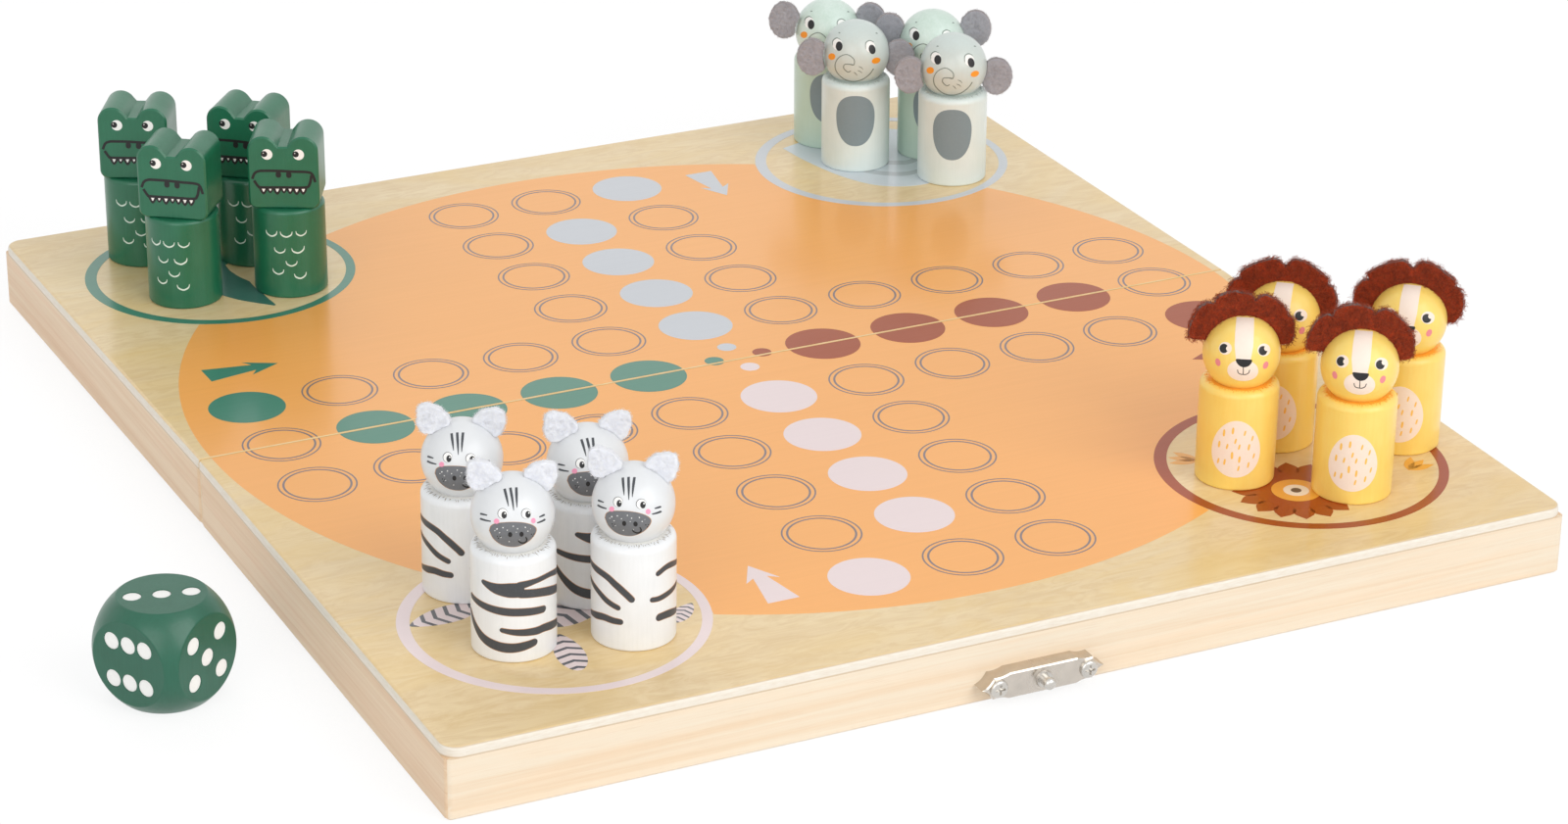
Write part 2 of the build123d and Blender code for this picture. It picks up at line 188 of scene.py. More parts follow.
def aimCamera():
    settings = studio["camera"]
    azimuth, elevation, roll = (radians(settings[key]) for key in ("azimuth", "elevation", "roll"))
    back = Vector((sin(azimuth) * cos(elevation), -cos(azimuth) * cos(elevation), sin(elevation)))
    right = Vector((cos(azimuth), sin(azimuth), 0))
    up = back.cross(right)
    columns = (right * cos(roll) + up * sin(roll), up * cos(roll) - right * sin(roll), back)
    lens = bpy.data.cameras.new("viewCamera")
    lens.lens = settings["lens"]
    lens.sensor_width = 36
    lens.clip_start = 0.01
    camera = placed("viewCamera", lens)
    place = (Vector(studio["aim"]) + back * settings["distance"]) * mm
    camera.matrix_world = Matrix.Translation(place) @ Matrix(columns).transposed().to_4x4()
    bpy.context.scene.camera = camera


def hangLamps():
    for name, (place, side, level, mirrored) in studio["lamps"].items():
        place = Vector(place)
        light = bpy.data.lights.new(name, "AREA")
        light.size = side
        light.energy = level * pi * pi * place.length_squared  # a white card facing it shows that level
        lamp = placed(name, light)
        lamp.matrix_world = Matrix.Translation(place) @ place.to_track_quat("Z", "Y").to_matrix().to_4x4()
        lamp.visible_glossy = mirrored


def layFloor():
    look = studio["floor"]
    half, height = look["half"], look["height"] * mm
    corners = [(x * half, y * half, height) for x, y in ((-1, -1), (1, -1), (1, 1), (-1, 1))]
    mesh = bpy.data.meshes.new("floor")
    mesh.from_pydata(corners, [], [(0, 1, 2, 3)])
    material = bpy.data.materials.new("paleFloor")
    material.use_nodes = True
    graph = Graph(material.node_tree)
    white = graph.node("ShaderNodeBsdfDiffuse", {}, {"Color": (look["white"],) * 3 + (1,)})
    bright = graph.node("ShaderNodeBsdfDiffuse", {}, {"Color": pureWhite})
    clear = graph.node("ShaderNodeBsdfTransparent", {}, {})
    shown = graph.node("ShaderNodeMixShader", {}, {0: look["shown"], 1: clear, 2: bright})
    solid = graph.node("ShaderNodeMixShader", {}, {0: onlookers(graph), 1: white, 2: shown})
    whole = graph.node("ShaderNodeMixShader", {}, {0: lightRay("Shadow", graph), 1: solid, 2: clear})
    graph.feed(material.node_tree.nodes["Material Output"].inputs["Surface"], whole)
    mesh.materials.append(material)
    placed("floor", mesh)


def paintSky():
    world = bpy.data.worlds.new("softSky")
    world.use_nodes = True
    bpy.context.scene.world = world
    graph = Graph(world.node_tree)
    lit, seen = (graph.node("ShaderNodeBackground", {}, {"Color": pureWhite, "Strength": studio[key]})
                 for key in ("skyLevel", "skyShown"))
    both = graph.node("ShaderNodeMixShader", {}, {0: onlookers(graph), 1: lit, 2: seen})
    graph.feed(world.node_tree.nodes["World Output"].inputs["Surface"], both)


aimCamera()
hangLamps()
layFloor()
paintSky()
bpy.context.scene.view_settings.view_transform = "Standard"
print("studio set")


# Geometry Nodes trees

def plantTree(name, inputs):
    # a tree with named inputs; gives its graph and its input wires
    tree = bpy.data.node_groups.new(name, "GeometryNodeTree")
    sockets = {"Geometry": "Geometry", **inputs, "Material": "Material"}
    for label, kind in sockets.items():
        tree.interface.new_socket(name=label, in_out="INPUT", socket_type="NodeSocket" + kind)
    tree.interface.new_socket(name="Geometry", in_out="OUTPUT", socket_type="NodeSocketGeometry")
    graph = Graph(tree)
    entry = tree.nodes.new("NodeGroupInput")
    return graph, {label: Wire(graph, entry.outputs[label]) for label in sockets}


def closeTree(graph, given, stamp, more):
    # puts the stamp on every point, makes the copies real and paints them
    places = {"Points": given["Geometry"], "Instance": stamp, **more}
    copies = graph.node("GeometryNodeInstanceOnPoints", {}, places)
    real = graph.node("GeometryNodeRealizeInstances", {}, {"Geometry": copies})
    painted = graph.node("GeometryNodeSetMaterial", {}, {"Geometry": real, "Material": given["Material"]})
    graph.feed(graph.tree.nodes.new("NodeGroupOutput").inputs["Geometry"], painted)
    return graph.tree


def anyNumber(graph, given, low, high):
    # a number of its own for every point
    span = {2: low, 3: high, "Seed": given["Seed"]}
    return graph.node("FunctionNodeRandomValue", {"data_type": "FLOAT"}, span, 1)


def circle(graph, count, radius):
    sizes = {"Resolution": count, "Radius": radius}
    return graph.node("GeometryNodeCurvePrimitiveCircle", {"mode": "RADIUS"}, sizes)


def filled(graph, curve):
    return graph.node("GeometryNodeFillCurve", {"mode": "TRIANGLES"}, {"Curve": curve})


def discTree():
    # a flat disc on every point
    graph, given = plantTree("stampedDiscs", {"Radius": "Float"})
    return closeTree(graph, given, filled(graph, circle(graph, 72, given["Radius"])), {})


def ringTree():
    # a flat ring on every point
    graph, given = plantTree("stampedRings", {"Radius": "Float", "Line": "Float"})
    pair = graph.node("GeometryNodeJoinGeometry", {}, {"Geometry": circle(graph, 96, given["Radius"])})
    graph.feed(pair.socket.node.inputs["Geometry"], circle(graph, 96, given["Radius"] - given["Line"]))
    return closeTree(graph, given, filled(graph, pair), {})


def markTree(name, outward):
    # a small mark on every point, each turned and sized a little differently; outward ones point away
    # from the middle
    sizes = {"Turn": "Float", "Least Size": "Float", "Most Size": "Float"}
    graph, given = plantTree(name, {"Mark": "Object", **sizes, "Seed": "Int"})
    mark = graph.node("GeometryNodeObjectInfo", {}, {"Object": given["Mark"]}, "Geometry")
    turn = anyNumber(graph, given, 0.0 - given["Turn"], given["Turn"])
    if outward:
        x, y, _ = graph.axes(graph.node("GeometryNodeInputPosition", {}, {}))
        turn = y.angleWith(x) + turn
    size = anyNumber(graph, given, given["Least Size"], given["Most Size"])
    rotation = graph.node("ShaderNodeCombineXYZ", {}, {"Z": turn})
    return closeTree(graph, given, mark, {"Rotation": rotation, "Scale": size})


def fibreTree():
    # short bent hairs, lying on the felt and standing off its edges
    sizes = ("Count", "Length", "Thickness", "Least Lie", "Most Lie")
    graph, given = plantTree("feltFibres", {**dict.fromkeys(sizes, "Float"), "Seed": "Int"})
    sown = {"Mesh": given["Geometry"], "Density": given["Count"], "Seed": given["Seed"]}
    points = graph.node("GeometryNodeDistributePointsOnFaces", {}, sown, "Points")
    standing = Wire(graph, points.socket.node.outputs["Rotation"])
    length = given["Length"]
    middle = graph.node("ShaderNodeCombineXYZ", {}, {"X": length * 0.15, "Z": length * 0.55})
    tip = graph.node("ShaderNodeCombineXYZ", {}, {"X": length * 0.6, "Z": length * 0.8})
    bend = {"Resolution": 2, "Start": (0, 0, 0), "Middle": middle, "End": tip}
    line = graph.node("GeometryNodeCurveQuadraticBezier", {}, bend)
    tube = {"Curve": line, "Profile Curve": circle(graph, 3, given["Thickness"]), "Fill Caps": True}
    hair = graph.node("GeometryNodeCurveToMesh", {}, tube)
    lean = anyNumber(graph, given, given["Least Lie"], given["Most Lie"])
    swing = graph.node("ShaderNodeCombineXYZ", {}, {"Y": lean, "Z": anyNumber(graph, given, 0.0, 2 * pi)})
    turned = {"Rotation": standing, "Rotate By": swing}
    aimed = graph.node("FunctionNodeRotateRotation", {"rotation_space": "LOCAL"}, turned)
    size = anyNumber(graph, given, 0.5, 1.0)
    return closeTree(graph, given, hair, {"Points": points, "Rotation": aimed, "Scale": size})


def grow(mesh, tree, values):
    # runs a tree on a mesh and gives back a plain mesh
    holder = placed("grown", mesh)
    modifier = holder.modifiers.new("grown", "NODES")
    modifier.node_group = tree
    for item in tree.interface.items_tree:
        if item.in_out == "INPUT" and item.name in values:
            modifier[item.identifier] = values[item.name]
    return baked(holder)


discs, rings, fibres = discTree(), ringTree(), fibreTree()
marks, ticks = markTree("scatteredMarks", False), markTree("ringTicks", True)


# Flat patches of print and paint

def anticlockwise(outline):
    return sum(u * q - p * v for (u, v), (p, q) in around(outline)) > 0


def flatMesh(points, faces=()):
    mesh = bpy.data.meshes.new("flat")
    mesh.from_pydata([(u, v, 0) for u, v in points], [], faces)
    return mesh


class Film:
    # patches drawn flat in millimetres, each with its material, to be laid on a surface later

    def __init__(self, palette, base=0.0):
        self.palette = palette
        self.base = base
        self.points = []
        self.faces = []
        self.inks = []

    def add(self, shape, ink, height=0.0):
        points, faces = shape
        start = len(self.points)
        self.points += [(u, v, height + self.base) for u, v in points]
        self.faces += [tuple(start + i for i in face) for face in faces]
        self.inks += [self.palette[ink]] * len(faces)

    def stamp(self, tree, spots, ink, height, values, mark=None):
        # what a tree puts on the spots
        values = {"Material": self.palette[ink], **values}
        if mark:
            values["Mark"] = placed("mark", flatMesh(*mark))
        mesh = grow(flatMesh(spots), tree, values)
        points = [tuple(vertex.co.xy) for vertex in mesh.vertices]
        faces = [tuple(face.vertices) for face in mesh.polygons]
        upward = [face if anticlockwise([points[i] for i in face]) else face[::-1] for face in faces]
        self.add((points, upward), ink, height)
        if mark:
            bpy.data.objects.remove(values["Mark"])

    def half(self, side, margin):
        # what lies beyond the fold on one side
        inks = list(dict.fromkeys(self.inks))
        flat = bmesh.new()
        corners = [flat.verts.new(point) for point in self.points]
        for face, ink in zip(self.faces, self.inks):
            flat.faces.new([corners[i] for i in face]).material_index = inks.index(ink)
        parts = flat.verts[:] + flat.edges[:] + flat.faces[:]
        plane = {"plane_co": (0, side * margin, 0), "plane_no": (0, side, 0)}
        bmesh.ops.bisect_plane(flat, geom=parts, dist=1e-6, clear_inner=True, **plane)
        flat.verts.index_update()
        kept = Film(self.palette)
        kept.points = [tuple(vertex.co) for vertex in flat.verts]
        kept.faces = [tuple(vertex.index for vertex in face.verts) for face in flat.faces]
        kept.inks = [inks[face.material_index] for face in flat.faces]
        flat.free()
        return kept


def grown(point, middle, size):
    return tuple(centre + (part - centre) * size for part, centre in zip(point, middle))


def fan(outline, layers=1, middle=None):
    # a patch that its middle can see all round, in layers from the middle out
    if not anticlockwise(outline):
        outline = outline[::-1]
    count = len(outline)
    middle = middle or tuple(sum(parts) / count for parts in zip(*outline))
    points = [middle]
    for layer in range(1, layers + 1):
        points += [grown(point, middle, layer / layers) for point in outline]
    pairs = list(around(list(range(count))))
    faces = [(0, 1 + i, 1 + j) for i, j in pairs]
    for layer in range(1, layers):
        inner, outer = 1 + (layer - 1) * count, 1 + layer * count
        faces += [(inner + i, outer + i, outer + j, inner + j) for i, j in pairs]
    return points, faces


def band(outer, inner):
    # the strip between two outlines of as many points, both drawn anticlockwise
    count = len(outer)
    return outer + inner, [(i, j, count + j, count + i) for i, j in around(list(range(count)))]


def through(knots, steps):
    # a smooth line through the knots
    def beyond(end, last):
        return tuple(2 * a - b for a, b in zip(end, last))

    ends = [beyond(knots[0], knots[1]), *knots, beyond(knots[-1], knots[-2])]
    line = []
    for span in zip(ends, ends[1:], ends[2:], ends[3:]):
        for step in range(steps):
            t = step / steps
            line.append(tuple(
                0.5 * (2 * b + (c - a) * t + (2 * a - 5 * b + 4 * c - d) * t * t
                       + (3 * b - a - 3 * c + d) * t ** 3)
                for a, b, c, d in zip(*span)
            ))
    return line + [tuple(knots[-1])]


def loop(knots, steps):
    # a smooth outline through the knots and back to the first
    return through(knots + knots[:1], steps)[:-1]


def along(line, runs, run):
    for (u, v), (p, q), start, stop in zip(line, line[1:], runs, runs[1:]):
        if run <= stop:
            share = (run - start) / (stop - start)
            return u + (p - u) * share, v + (q - v) * share
    return line[-1]


def stroke(knots, widths, steps, across=1, blunt=False):
    # a brush line through the knots; widths are given along it at even shares
    line = through(knots, steps)
    runs = [0.0]
    for (u, v), (p, q) in zip(line, line[1:]):
        runs.append(runs[-1] + hypot(p - u, q - v))
    if blunt:  # close stations for the rounded ends
        extra = [max(widths) / 2 * share for share in (0.03, 0.12, 0.3, 0.6)]
        stations = sorted(set(runs + extra + [runs[-1] - run for run in extra]))
        line = [along(line, runs, run) for run in stations]
        runs = stations
    points = []
    last = len(line) - 1
    for i, (u, v) in enumerate(line):
        before, after = line[max(i - 1, 0)], line[min(i + 1, last)]
        du, dv = after[0] - before[0], after[1] - before[1]
        length = hypot(du, dv) or 1.0
        at = runs[i] / runs[-1] * (len(widths) - 1)
        low = min(int(at), len(widths) - 2)
        half = (widths[low] + (widths[low + 1] - widths[low]) * (at - low)) / 2
        if blunt:
            edge = min(runs[i], runs[-1] - runs[i]) / max(half, 1e-6)
            half *= sqrt(max(0.0016, 1 - max(0.0, 1 - edge) ** 2))
        for k in range(across + 1):
            offset = half * (2 * k / across - 1)
            points.append((u - dv / length * offset, v + du / length * offset))
    row = across + 1
    corners = [i * row + k for i in range(last) for k in range(across)]
    return points, [(a, a + row, a + row + 1, a + 1) for a in corners]


def oval(centre, radii, turn=0.0, count=36, squareness=1.0):
    # an ellipse, or a circle where radii is one number; squareness under 1 fills its corners
    across, high = radii if isinstance(radii, tuple) else (radii, radii)
    outline = []
    for i in range(count):
        angle = 2 * pi * i / count
        u, v = cos(angle), sin(angle)
        u = abs(u) ** squareness * (1 if u > 0 else -1) * across
        v = abs(v) ** squareness * (1 if v > 0 else -1) * high
        outline.append((centre[0] + u * cos(turn) - v * sin(turn), centre[1] + u * sin(turn) + v * cos(turn)))
    return outline


def moved(shape, place, turn=0.0):
    points, faces = shape
    c, s = cos(turn), sin(turn)
    return [(place[0] + u * c - v * s, place[1] + u * s + v * c) for u, v in points], faces


def layOn(name, film, surface, *where, sunk=0.06):
    # closes every patch downwards and lays it on its surface, which gives a place for (u, v, height)
    count = len(film.points)
    places = [surface(*where, *point) for point in film.points]
    places += [surface(*where, u, v, -sunk) for u, v, _ in film.points]
    inks = list(dict.fromkeys(film.inks))
    edges = {pair for face in film.faces for pair in around(face)}
    faces = film.faces + [tuple(i + count for i in face[::-1]) for face in film.faces]
    paints = [inks.index(ink) for ink in film.inks] * 2
    for face, ink in zip(film.faces, film.inks):
        for a, b in around(face):
            if (b, a) not in edges:
                faces.append((b, a, a + count, b + count))
                paints.append(inks.index(ink))
    smooth = [i < len(film.faces) for i in range(len(faces))]
    mesh = bpy.data.meshes.new(name)
    mesh.from_pydata([tuple(place) for place in places], [], faces)
    mesh.polygons.foreach_set("material_index", paints)
    mesh.polygons.foreach_set("use_smooth", smooth)
    for ink in inks:
        mesh.materials.append(ink)
    mesh.update()
    crease(mesh)
    return placed(name, mesh)


def crease(mesh):
    # keeps the shading of a flat face out of the smooth ones beside it
    shape = bmesh.new()
    shape.from_mesh(mesh)
    for edge in shape.edges:
        edge.smooth = all(face.smooth for face in edge.link_faces)
    shape.to_mesh(mesh)
    shape.free()


# Wood, paint, metal and felt

board = {"halfWidth": 135.0, "halfDepth": 148.5, "corner": 4.0, "panelMiddle": 15.3, "seamRise": 1.6}
woods = {
    "face": {"pale": (242, 219, 174), "dark": (222, 190, 136), "patch": (235, 202, 133), "roughness": 0.3},
    "edge": {"pale": (240, 233, 220), "thin": (205, 176, 138), "seam": (222, 184, 116)},
    "pineLong": {"pale": (240, 226, 204), "dark": (232, 203, 168), "pink": (244, 220, 191)},
    "pineShort": {"pale": (241, 216, 184), "dark": (222, 184, 144), "pink": (238, 202, 168)},
    "pine": {"fleck": (205, 160, 112), "roughness": 0.42},
}
lacquer = {"Specular IOR Level": 0.5, "Coat Weight": 0.35, "Coat Roughness": 0.14}


def fineGrain(graph, place):
    return graph.speckle(place, (0.02, 0.9, 0.9), 6.0, 0.62, 0.6)


def panelFinish():
    # lacquered face, with the pale core and its thin outer plies showing at the cut edges
    look, edge = woods["face"], {part: hue(colour) for part, colour in woods["edge"].items()}

    def layers(graph, place):
        fine = fineGrain(graph, place)
        flame = graph.speckle(place, (0.008, 0.045, 0.045), 3.0, 0.55, 1.6)
        pores = graph.speckle(place, (0.25, 3.2, 3.2))
        clouds = graph.speckle(place, (0.014, 0.03, 0.03), 3.0, 0.6, 2.2)
        curls = graph.speckle(place, (0.07, 0.2, 0.2), 3.0, 0.6, 2.6)
        grain = fine.between(0.32, 0.68) * 0.3 + flame.between(0.3, 0.7) * 0.35
        grain = grain + curls.between(0.42, 0.6) * 0.35
        face = graph.mixed(grain, hue(look["pale"]), hue(look["dark"]))
        face = graph.mixed(clouds.between(0.42, 0.66) * 0.55, face, hue(look["patch"]))
        bumps = fine * 0.6 + pores * 0.4
        x, y, z = graph.axes(place)
        outX = (abs(x) - (board["halfWidth"] - board["corner"])).over(0.0)
        outY = (abs(y) - (board["halfDepth"] - board["corner"])).over(0.0)
        inside = board["corner"] - (outX * outX + outY * outY) ** 0.5
        cutEdge = inside.between(0.34, 0.22)
        atSeam = abs(y).between(0.3, 0.2)
        plies = z + abs(y) * (board["seamRise"] / board["halfDepth"])  # height above the rims
        outerPly = abs(plies - board["panelMiddle"]).between(0.85, 1.05)
        core = graph.mixed(outerPly * 0.75, edge["pale"], edge["thin"])
        shade = graph.speckle(place, (0.35, 0.35, 2.5), 3.0, 0.6)
        core = graph.mixed(shade.between(0.35, 0.75) * 0.3, core, edge["thin"])
        colour = graph.mixed(atSeam, graph.mixed(cutEdge, face, core), edge["seam"])
        rough = cutEdge.over(atSeam) * 0.35 + look["roughness"] + (bumps - 0.5) * 0.1
        return colour, rough, bumps, 0.012

    return finish("birchPanel", lacquer, layers)


def pineFinish(name, alongX):
    pale, dark, pink = (hue(colour) for colour in woods[name].values())

    def layers(graph, place):
        def drawn(long, cross, *rest):  # stretched along the rail
            return graph.speckle(place, (long, cross, cross) if alongX else (cross, long, cross), *rest)

        broad = drawn(0.008, 0.14, 3.0, 0.55, 1.4)
        rings = drawn(0.006, 0.5, 2.0, 0.5, 1.0)
        thin = drawn(0.05, 2.6, 5.0, 0.65)
        flecks = drawn(0.12, 6.0)
        bands = rings.between(0.42, 0.68) * 0.5 + thin.between(0.35, 0.75) * 0.25
        colour = graph.mixed(bands, graph.mixed(broad.between(0.45, 0.7) * 0.7, pale, pink), dark)
        colour = graph.mixed(flecks.between(0.62, 0.78) * 0.25, colour, hue(woods["pine"]["fleck"]))
        return colour, woods["pine"]["roughness"] + (thin - 0.5) * 0.2, bands * 0.5 + flecks * 0.5, 0.03

    return finish(name, {"Specular IOR Level": 0.45}, layers)


def printFinish(name, colour, grain, shine=0.5):
    # screen print under the lacquer, with the veneer's grain just showing through
    def layers(graph, place):
        streak = fineGrain(graph, place)
        cloud = graph.speckle(place, (0.02, 0.03, 0.03), 2.0, 0.5, 0.5)
        veil = streak.between(0.35, 0.7) * grain + cloud.between(0.35, 0.7) * grain * 0.6
        return graph.mixed(veil, hue(colour), hue(colour, 0.86)), 0.3 + (streak - 0.5) * 0.1, streak, 0.008

    settings = {"Specular IOR Level": shine, "Coat Weight": shine * 0.7}
    return finish(name, {**lacquer, **settings}, layers)


def paintFinish(name, colour, shade, gloss=0.34, coat=0.25, head=None):
    # sprayed paint on turned wood: faint grain, a few specks, a softer colour in random clouds
    def layers(graph, place):
        grain = graph.speckle(place, (1.6, 1.6, 0.12), 4.0, 0.6)
        orange = graph.speckle(place, 3.2)
        cloud = graph.speckle(place, 0.16)
        base = hue(colour)
        # the ball above the neck gets another colour: painted shade on zebra and grey elephant heads, painted
        # light on mint ones
        if head:
            z = graph.axes(place)[2]
            base = graph.mixed(z.between(39.2, 39.8), base, hue(head))
        mask = cloud.between(0.35, 0.7) * 0.35 + grain.between(0.4, 0.7) * 0.25
        rough = gloss + (cloud - 0.5) * 0.12 + (grain - 0.5) * 0.08
        return graph.mixed(mask, base, hue(shade)), rough, grain * 0.6 + orange * 0.4, 0.03

    return finish(name, {"Specular IOR Level": 0.5, "Coat Weight": coat, "Coat Roughness": 0.12}, layers)


def inkFinish(name, colour, wear):
    # pad-printed ink, a little uneven
    def layers(graph, place):
        patch = graph.speckle(place, 1.4, 3.0, 0.6)
        lighter = tuple(min(1.0, part + 0.02) for part in hue(colour, 1.25)[:3]) + (1.0,)
        mixed = graph.mixed(patch.between(0.45, 0.75) * wear, hue(colour), lighter)
        return mixed, 0.42 + (patch - 0.5) * 0.2, patch, 0.01

    return finish(name, {"Specular IOR Level": 0.4}, layers)


def metalFinish(name, colour, rough, brushed, hubs=()):
    def layers(graph, place):
        lines = graph.speckle(place, (9.0, 0.6, 0.6) if brushed else 2.5, 3.0, 0.6)
        x, _, z = graph.axes(place)
        for hubX, hubZ in hubs:  # turned rings round a stud
            away = ((x - hubX) ** 2.0 + (z - hubZ) ** 2.0) ** 0.5
            rings = (away * 5.5).sine() * 0.5 + 0.5
            lines = lines + rings * away.between(4.6, 2.6) * 0.9
        cloud = graph.speckle(place, 0.35)
        tint = graph.mixed(cloud.between(0.3, 0.7) * 0.5, hue(colour), hue(colour, 0.8))
        return tint, rough + (lines - 0.5) * 0.16 + (cloud - 0.5) * 0.08, lines, 0.006

    return finish(name, {"Metallic": 1.0}, layers)


def feltFinish(name, pale, dark, sheen=0.35):
    def layers(graph, place):
        tangle = graph.speckle(place, 3.4, 4.0, 0.7, 1.4)
        tufts = graph.speckle(place, 0.8, 3.0, 0.6, 0.8)
        mask = tangle.between(0.35, 0.68) * 0.65 + tufts.between(0.35, 0.7) * 0.35
        return graph.mixed(mask, hue(pale), hue(dark)), 0.92 - tufts * 0.1, tangle * 0.7 + tufts * 0.3, 0.16

    return finish(name, {"Specular IOR Level": 0.15, "Sheen Weight": sheen, "Sheen Roughness": 0.6}, layers)


def coat(node, material):
    nodes[node].data.materials.clear()
    nodes[node].data.materials.append(material)


studs = ("catch_stud", "hook_rivet")
hubs = [tuple((sum(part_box(name), Vector()) / 2 / mm).xz) for name in studs]
nodeFinishes = {
    # by how a node's name ends; the first that fits is taken
    ("panel",): panelFinish(),
    ("left_rail", "right_rail"): pineFinish("pineShort", False),
    ("rail",): pineFinish("pineLong", True),
    ("screws", "pin", *studs): metalFinish("screwMetal", (208, 204, 198), 0.26, False),
    ("hinge_leaf", "plate", "hook_arm"): metalFinish("nickel", (208, 200, 190), 0.17, True, hubs),
}
for name in nodes:
    fitting = [material for endings, material in nodeFinishes.items() if name.endswith(endings)]
    if fitting:
        coat(name, fitting[0])
print("finishes mixed")

# The printed course

course = {
    "pitch": 23.0,
    "field": {"Radius": 9.0, "Line": 0.38},
    "innerField": {"Radius": 7.85, "Line": 0.5},
    "ground": 132.0,
    "groundPoints": 1440,
    "house": (92.5, 105.0),
    "houseOuter": 33.5,
    "houseInner": 30.9,
    "housePoints": 144,
    "houseShift": (0.25, -0.15),
    "groundHeight": 0.02,
    "markHeight": 0.045,
    "foldMargin": 0.3,
    "lift": 16.5,
    "dots": {"lilac": (1.1, -5.0), "green": (-5.2, 1.3), "grey": (1.1, 7.6), "brown": (7.4, 1.3)},
    "dotRadius": 2.3,
    "step": 0.006,
    "arrow": [(-48.35, -117.4), (-40.85, -117.4), (-43.0, -105.5), (-40.6, -107.2), (-44.6, -99.5),
              (-48.6, -107.2), (-46.2, -105.5)],
}
lean = asin(board["seamRise"] / board["halfDepth"])
printInks = {
    # colour, how much grain shows through it, and a shine of its own
    "orange": ((253, 176, 86), 0.2),
    "line": ((122, 108, 112), 0.1),
    "lilac": ((238, 220, 220), 0.1),
    "green": ((60, 130, 108), 0.2),
    "grey": ((203, 207, 213), 0.15),
    "brown": ((164, 70, 14), 0.2, 0.32),
    "charcoal": ((92, 94, 100), 0.2),
    "amber": ((240, 172, 62), 0.2),
    "cream": ((246, 236, 222), 0.1),
    "seed": ((84, 64, 56), 0.15),
    "pond": ((209, 217, 223), 0.12),
    "ripple": ((182, 188, 192), 0.12),
    "forest": ((62, 112, 100), 0.2),
}
printInks = {ink: printFinish("print" + capital(ink), *look) for ink, look in printInks.items()}


def quarterTurn(point, times):
    u, v = point
    for _ in range(times):
        u, v = v, -u
    return u, v


yards = dict(zip(course["dots"], [quarterTurn((-1, -1), turn) for turn in range(4)]))


def groundOutline():
    # a disc bitten by the four house circles
    centreX, centreY = course["house"]
    outer = course["houseOuter"]
    outline = []
    for i in range(course["groundPoints"]):
        angle = 2 * pi * i / course["groundPoints"]
        reach = course["ground"]
        for sx, sy in yards.values():
            along = centreX * sx * cos(angle) + centreY * sy * sin(angle)
            aside = centreX ** 2 + centreY ** 2 - along ** 2
            if along > 0 and aside < outer ** 2:
                reach = min(reach, along - sqrt(outer ** 2 - aside))
        outline.append((reach * cos(angle), reach * sin(angle)))
    return outline


def leafShape(length, width):
    left = through([(0, 0), (-width * 0.42, length * 0.3), (-width * 0.4, length * 0.65), (0, length)], 6)
    return fan(left + [(-u, v) for u, v in left[-2:0:-1]], 2, (0, length * 0.5))


def barredLeaf(length, width, bars=17):
    # bars that rise to the midrib; every third is dark
    ribs = []
    for i in range(bars + 1):
        share = 0.01 + 0.98 * i / bars
        half = 1.3 * width * (share * (1 - share)) ** 0.7
        side = length * share - half * 0.4
        ribs += [(-half, side), (0, length * share), (half, side)]
    faces = [[(a, a + 1, a + 4, a + 3), (a + 1, a + 2, a + 5, a + 4)] for a in range(0, 3 * bars, 3)]
    light = [face for i, pair in enumerate(faces) for face in pair if i % 3 != 1]
    dark = [face for i, pair in enumerate(faces) for face in pair if i % 3 == 1]
    return (ribs, light), (ribs, dark)


houses = {
    # leaves: base, turn, length, width
    "lilac": [(-105.0, -92.5, 1.75, 17.0, 7.5), (-97.0, -128.5, -0.15, 17.0, 6.5),
              (-95.0, -107.5, -1.05, 22.0, 10.0), (-70.5, -117.0, -0.85, 10.0, 4.5),
              (-78.0, -88.0, -0.6, 14.0, 6.5), (-92.0, -78.5, 0.5, 9.0, 5.0)],
    "green": [(-76.0, 104.0, -0.9, 13.0, 6.0), (-90.0, 126.0, 0.2, 10.0, 5.0),
              (-93.0, 108.0, -0.6, 14.0, 6.0)],
    "sickle": [(-90.5, 112.0), (-94.0, 103.0), (-93.0, 93.5), (-90.6, 86.0), (-87.6, 79.0)],
    "sickleWidths": [2.0, 8.5, 11.0, 7.0, 0.6],
    "pond": [(73.0, 124.6), (74.6, 112.0), (78.2, 98.0), (84.4, 88.2), (95.0, 84.6), (106.5, 90.0),
             (113.0, 103.0), (112.0, 118.0), (102.0, 128.5), (89.0, 130.5), (79.5, 127.0)],
    "pondMiddle": (95.0, 108.0),
    "ripples": [[(82.0, 112.0), (85.5, 100.0), (94.0, 93.5), (104.0, 97.0)],
                [(88.0, 118.0), (90.0, 107.0), (98.0, 101.0), (106.5, 106.0)]],
    "rippleWidths": [0.3, 2.6, 3.0, 0.4],
    "flower": (84.0, -116.6),
    "petals": {"count": 16, "reach": 7.6, "size": (7.0, 5.4)},
    "rings": [(9.2, "brown"), (5.6, "amber"), (2.9, "cream"), (1.2, "seed")],
    "tufts": [(112.0, -92.0, -0.4), (100.0, -80.5, 0.3), (72.0, -94.0, 0.9), (113.0, -118.0, -1.1)],
    "blade": {"size": (7.0, 2.6), "turns": (-0.45, 0.0, 0.45)},
}


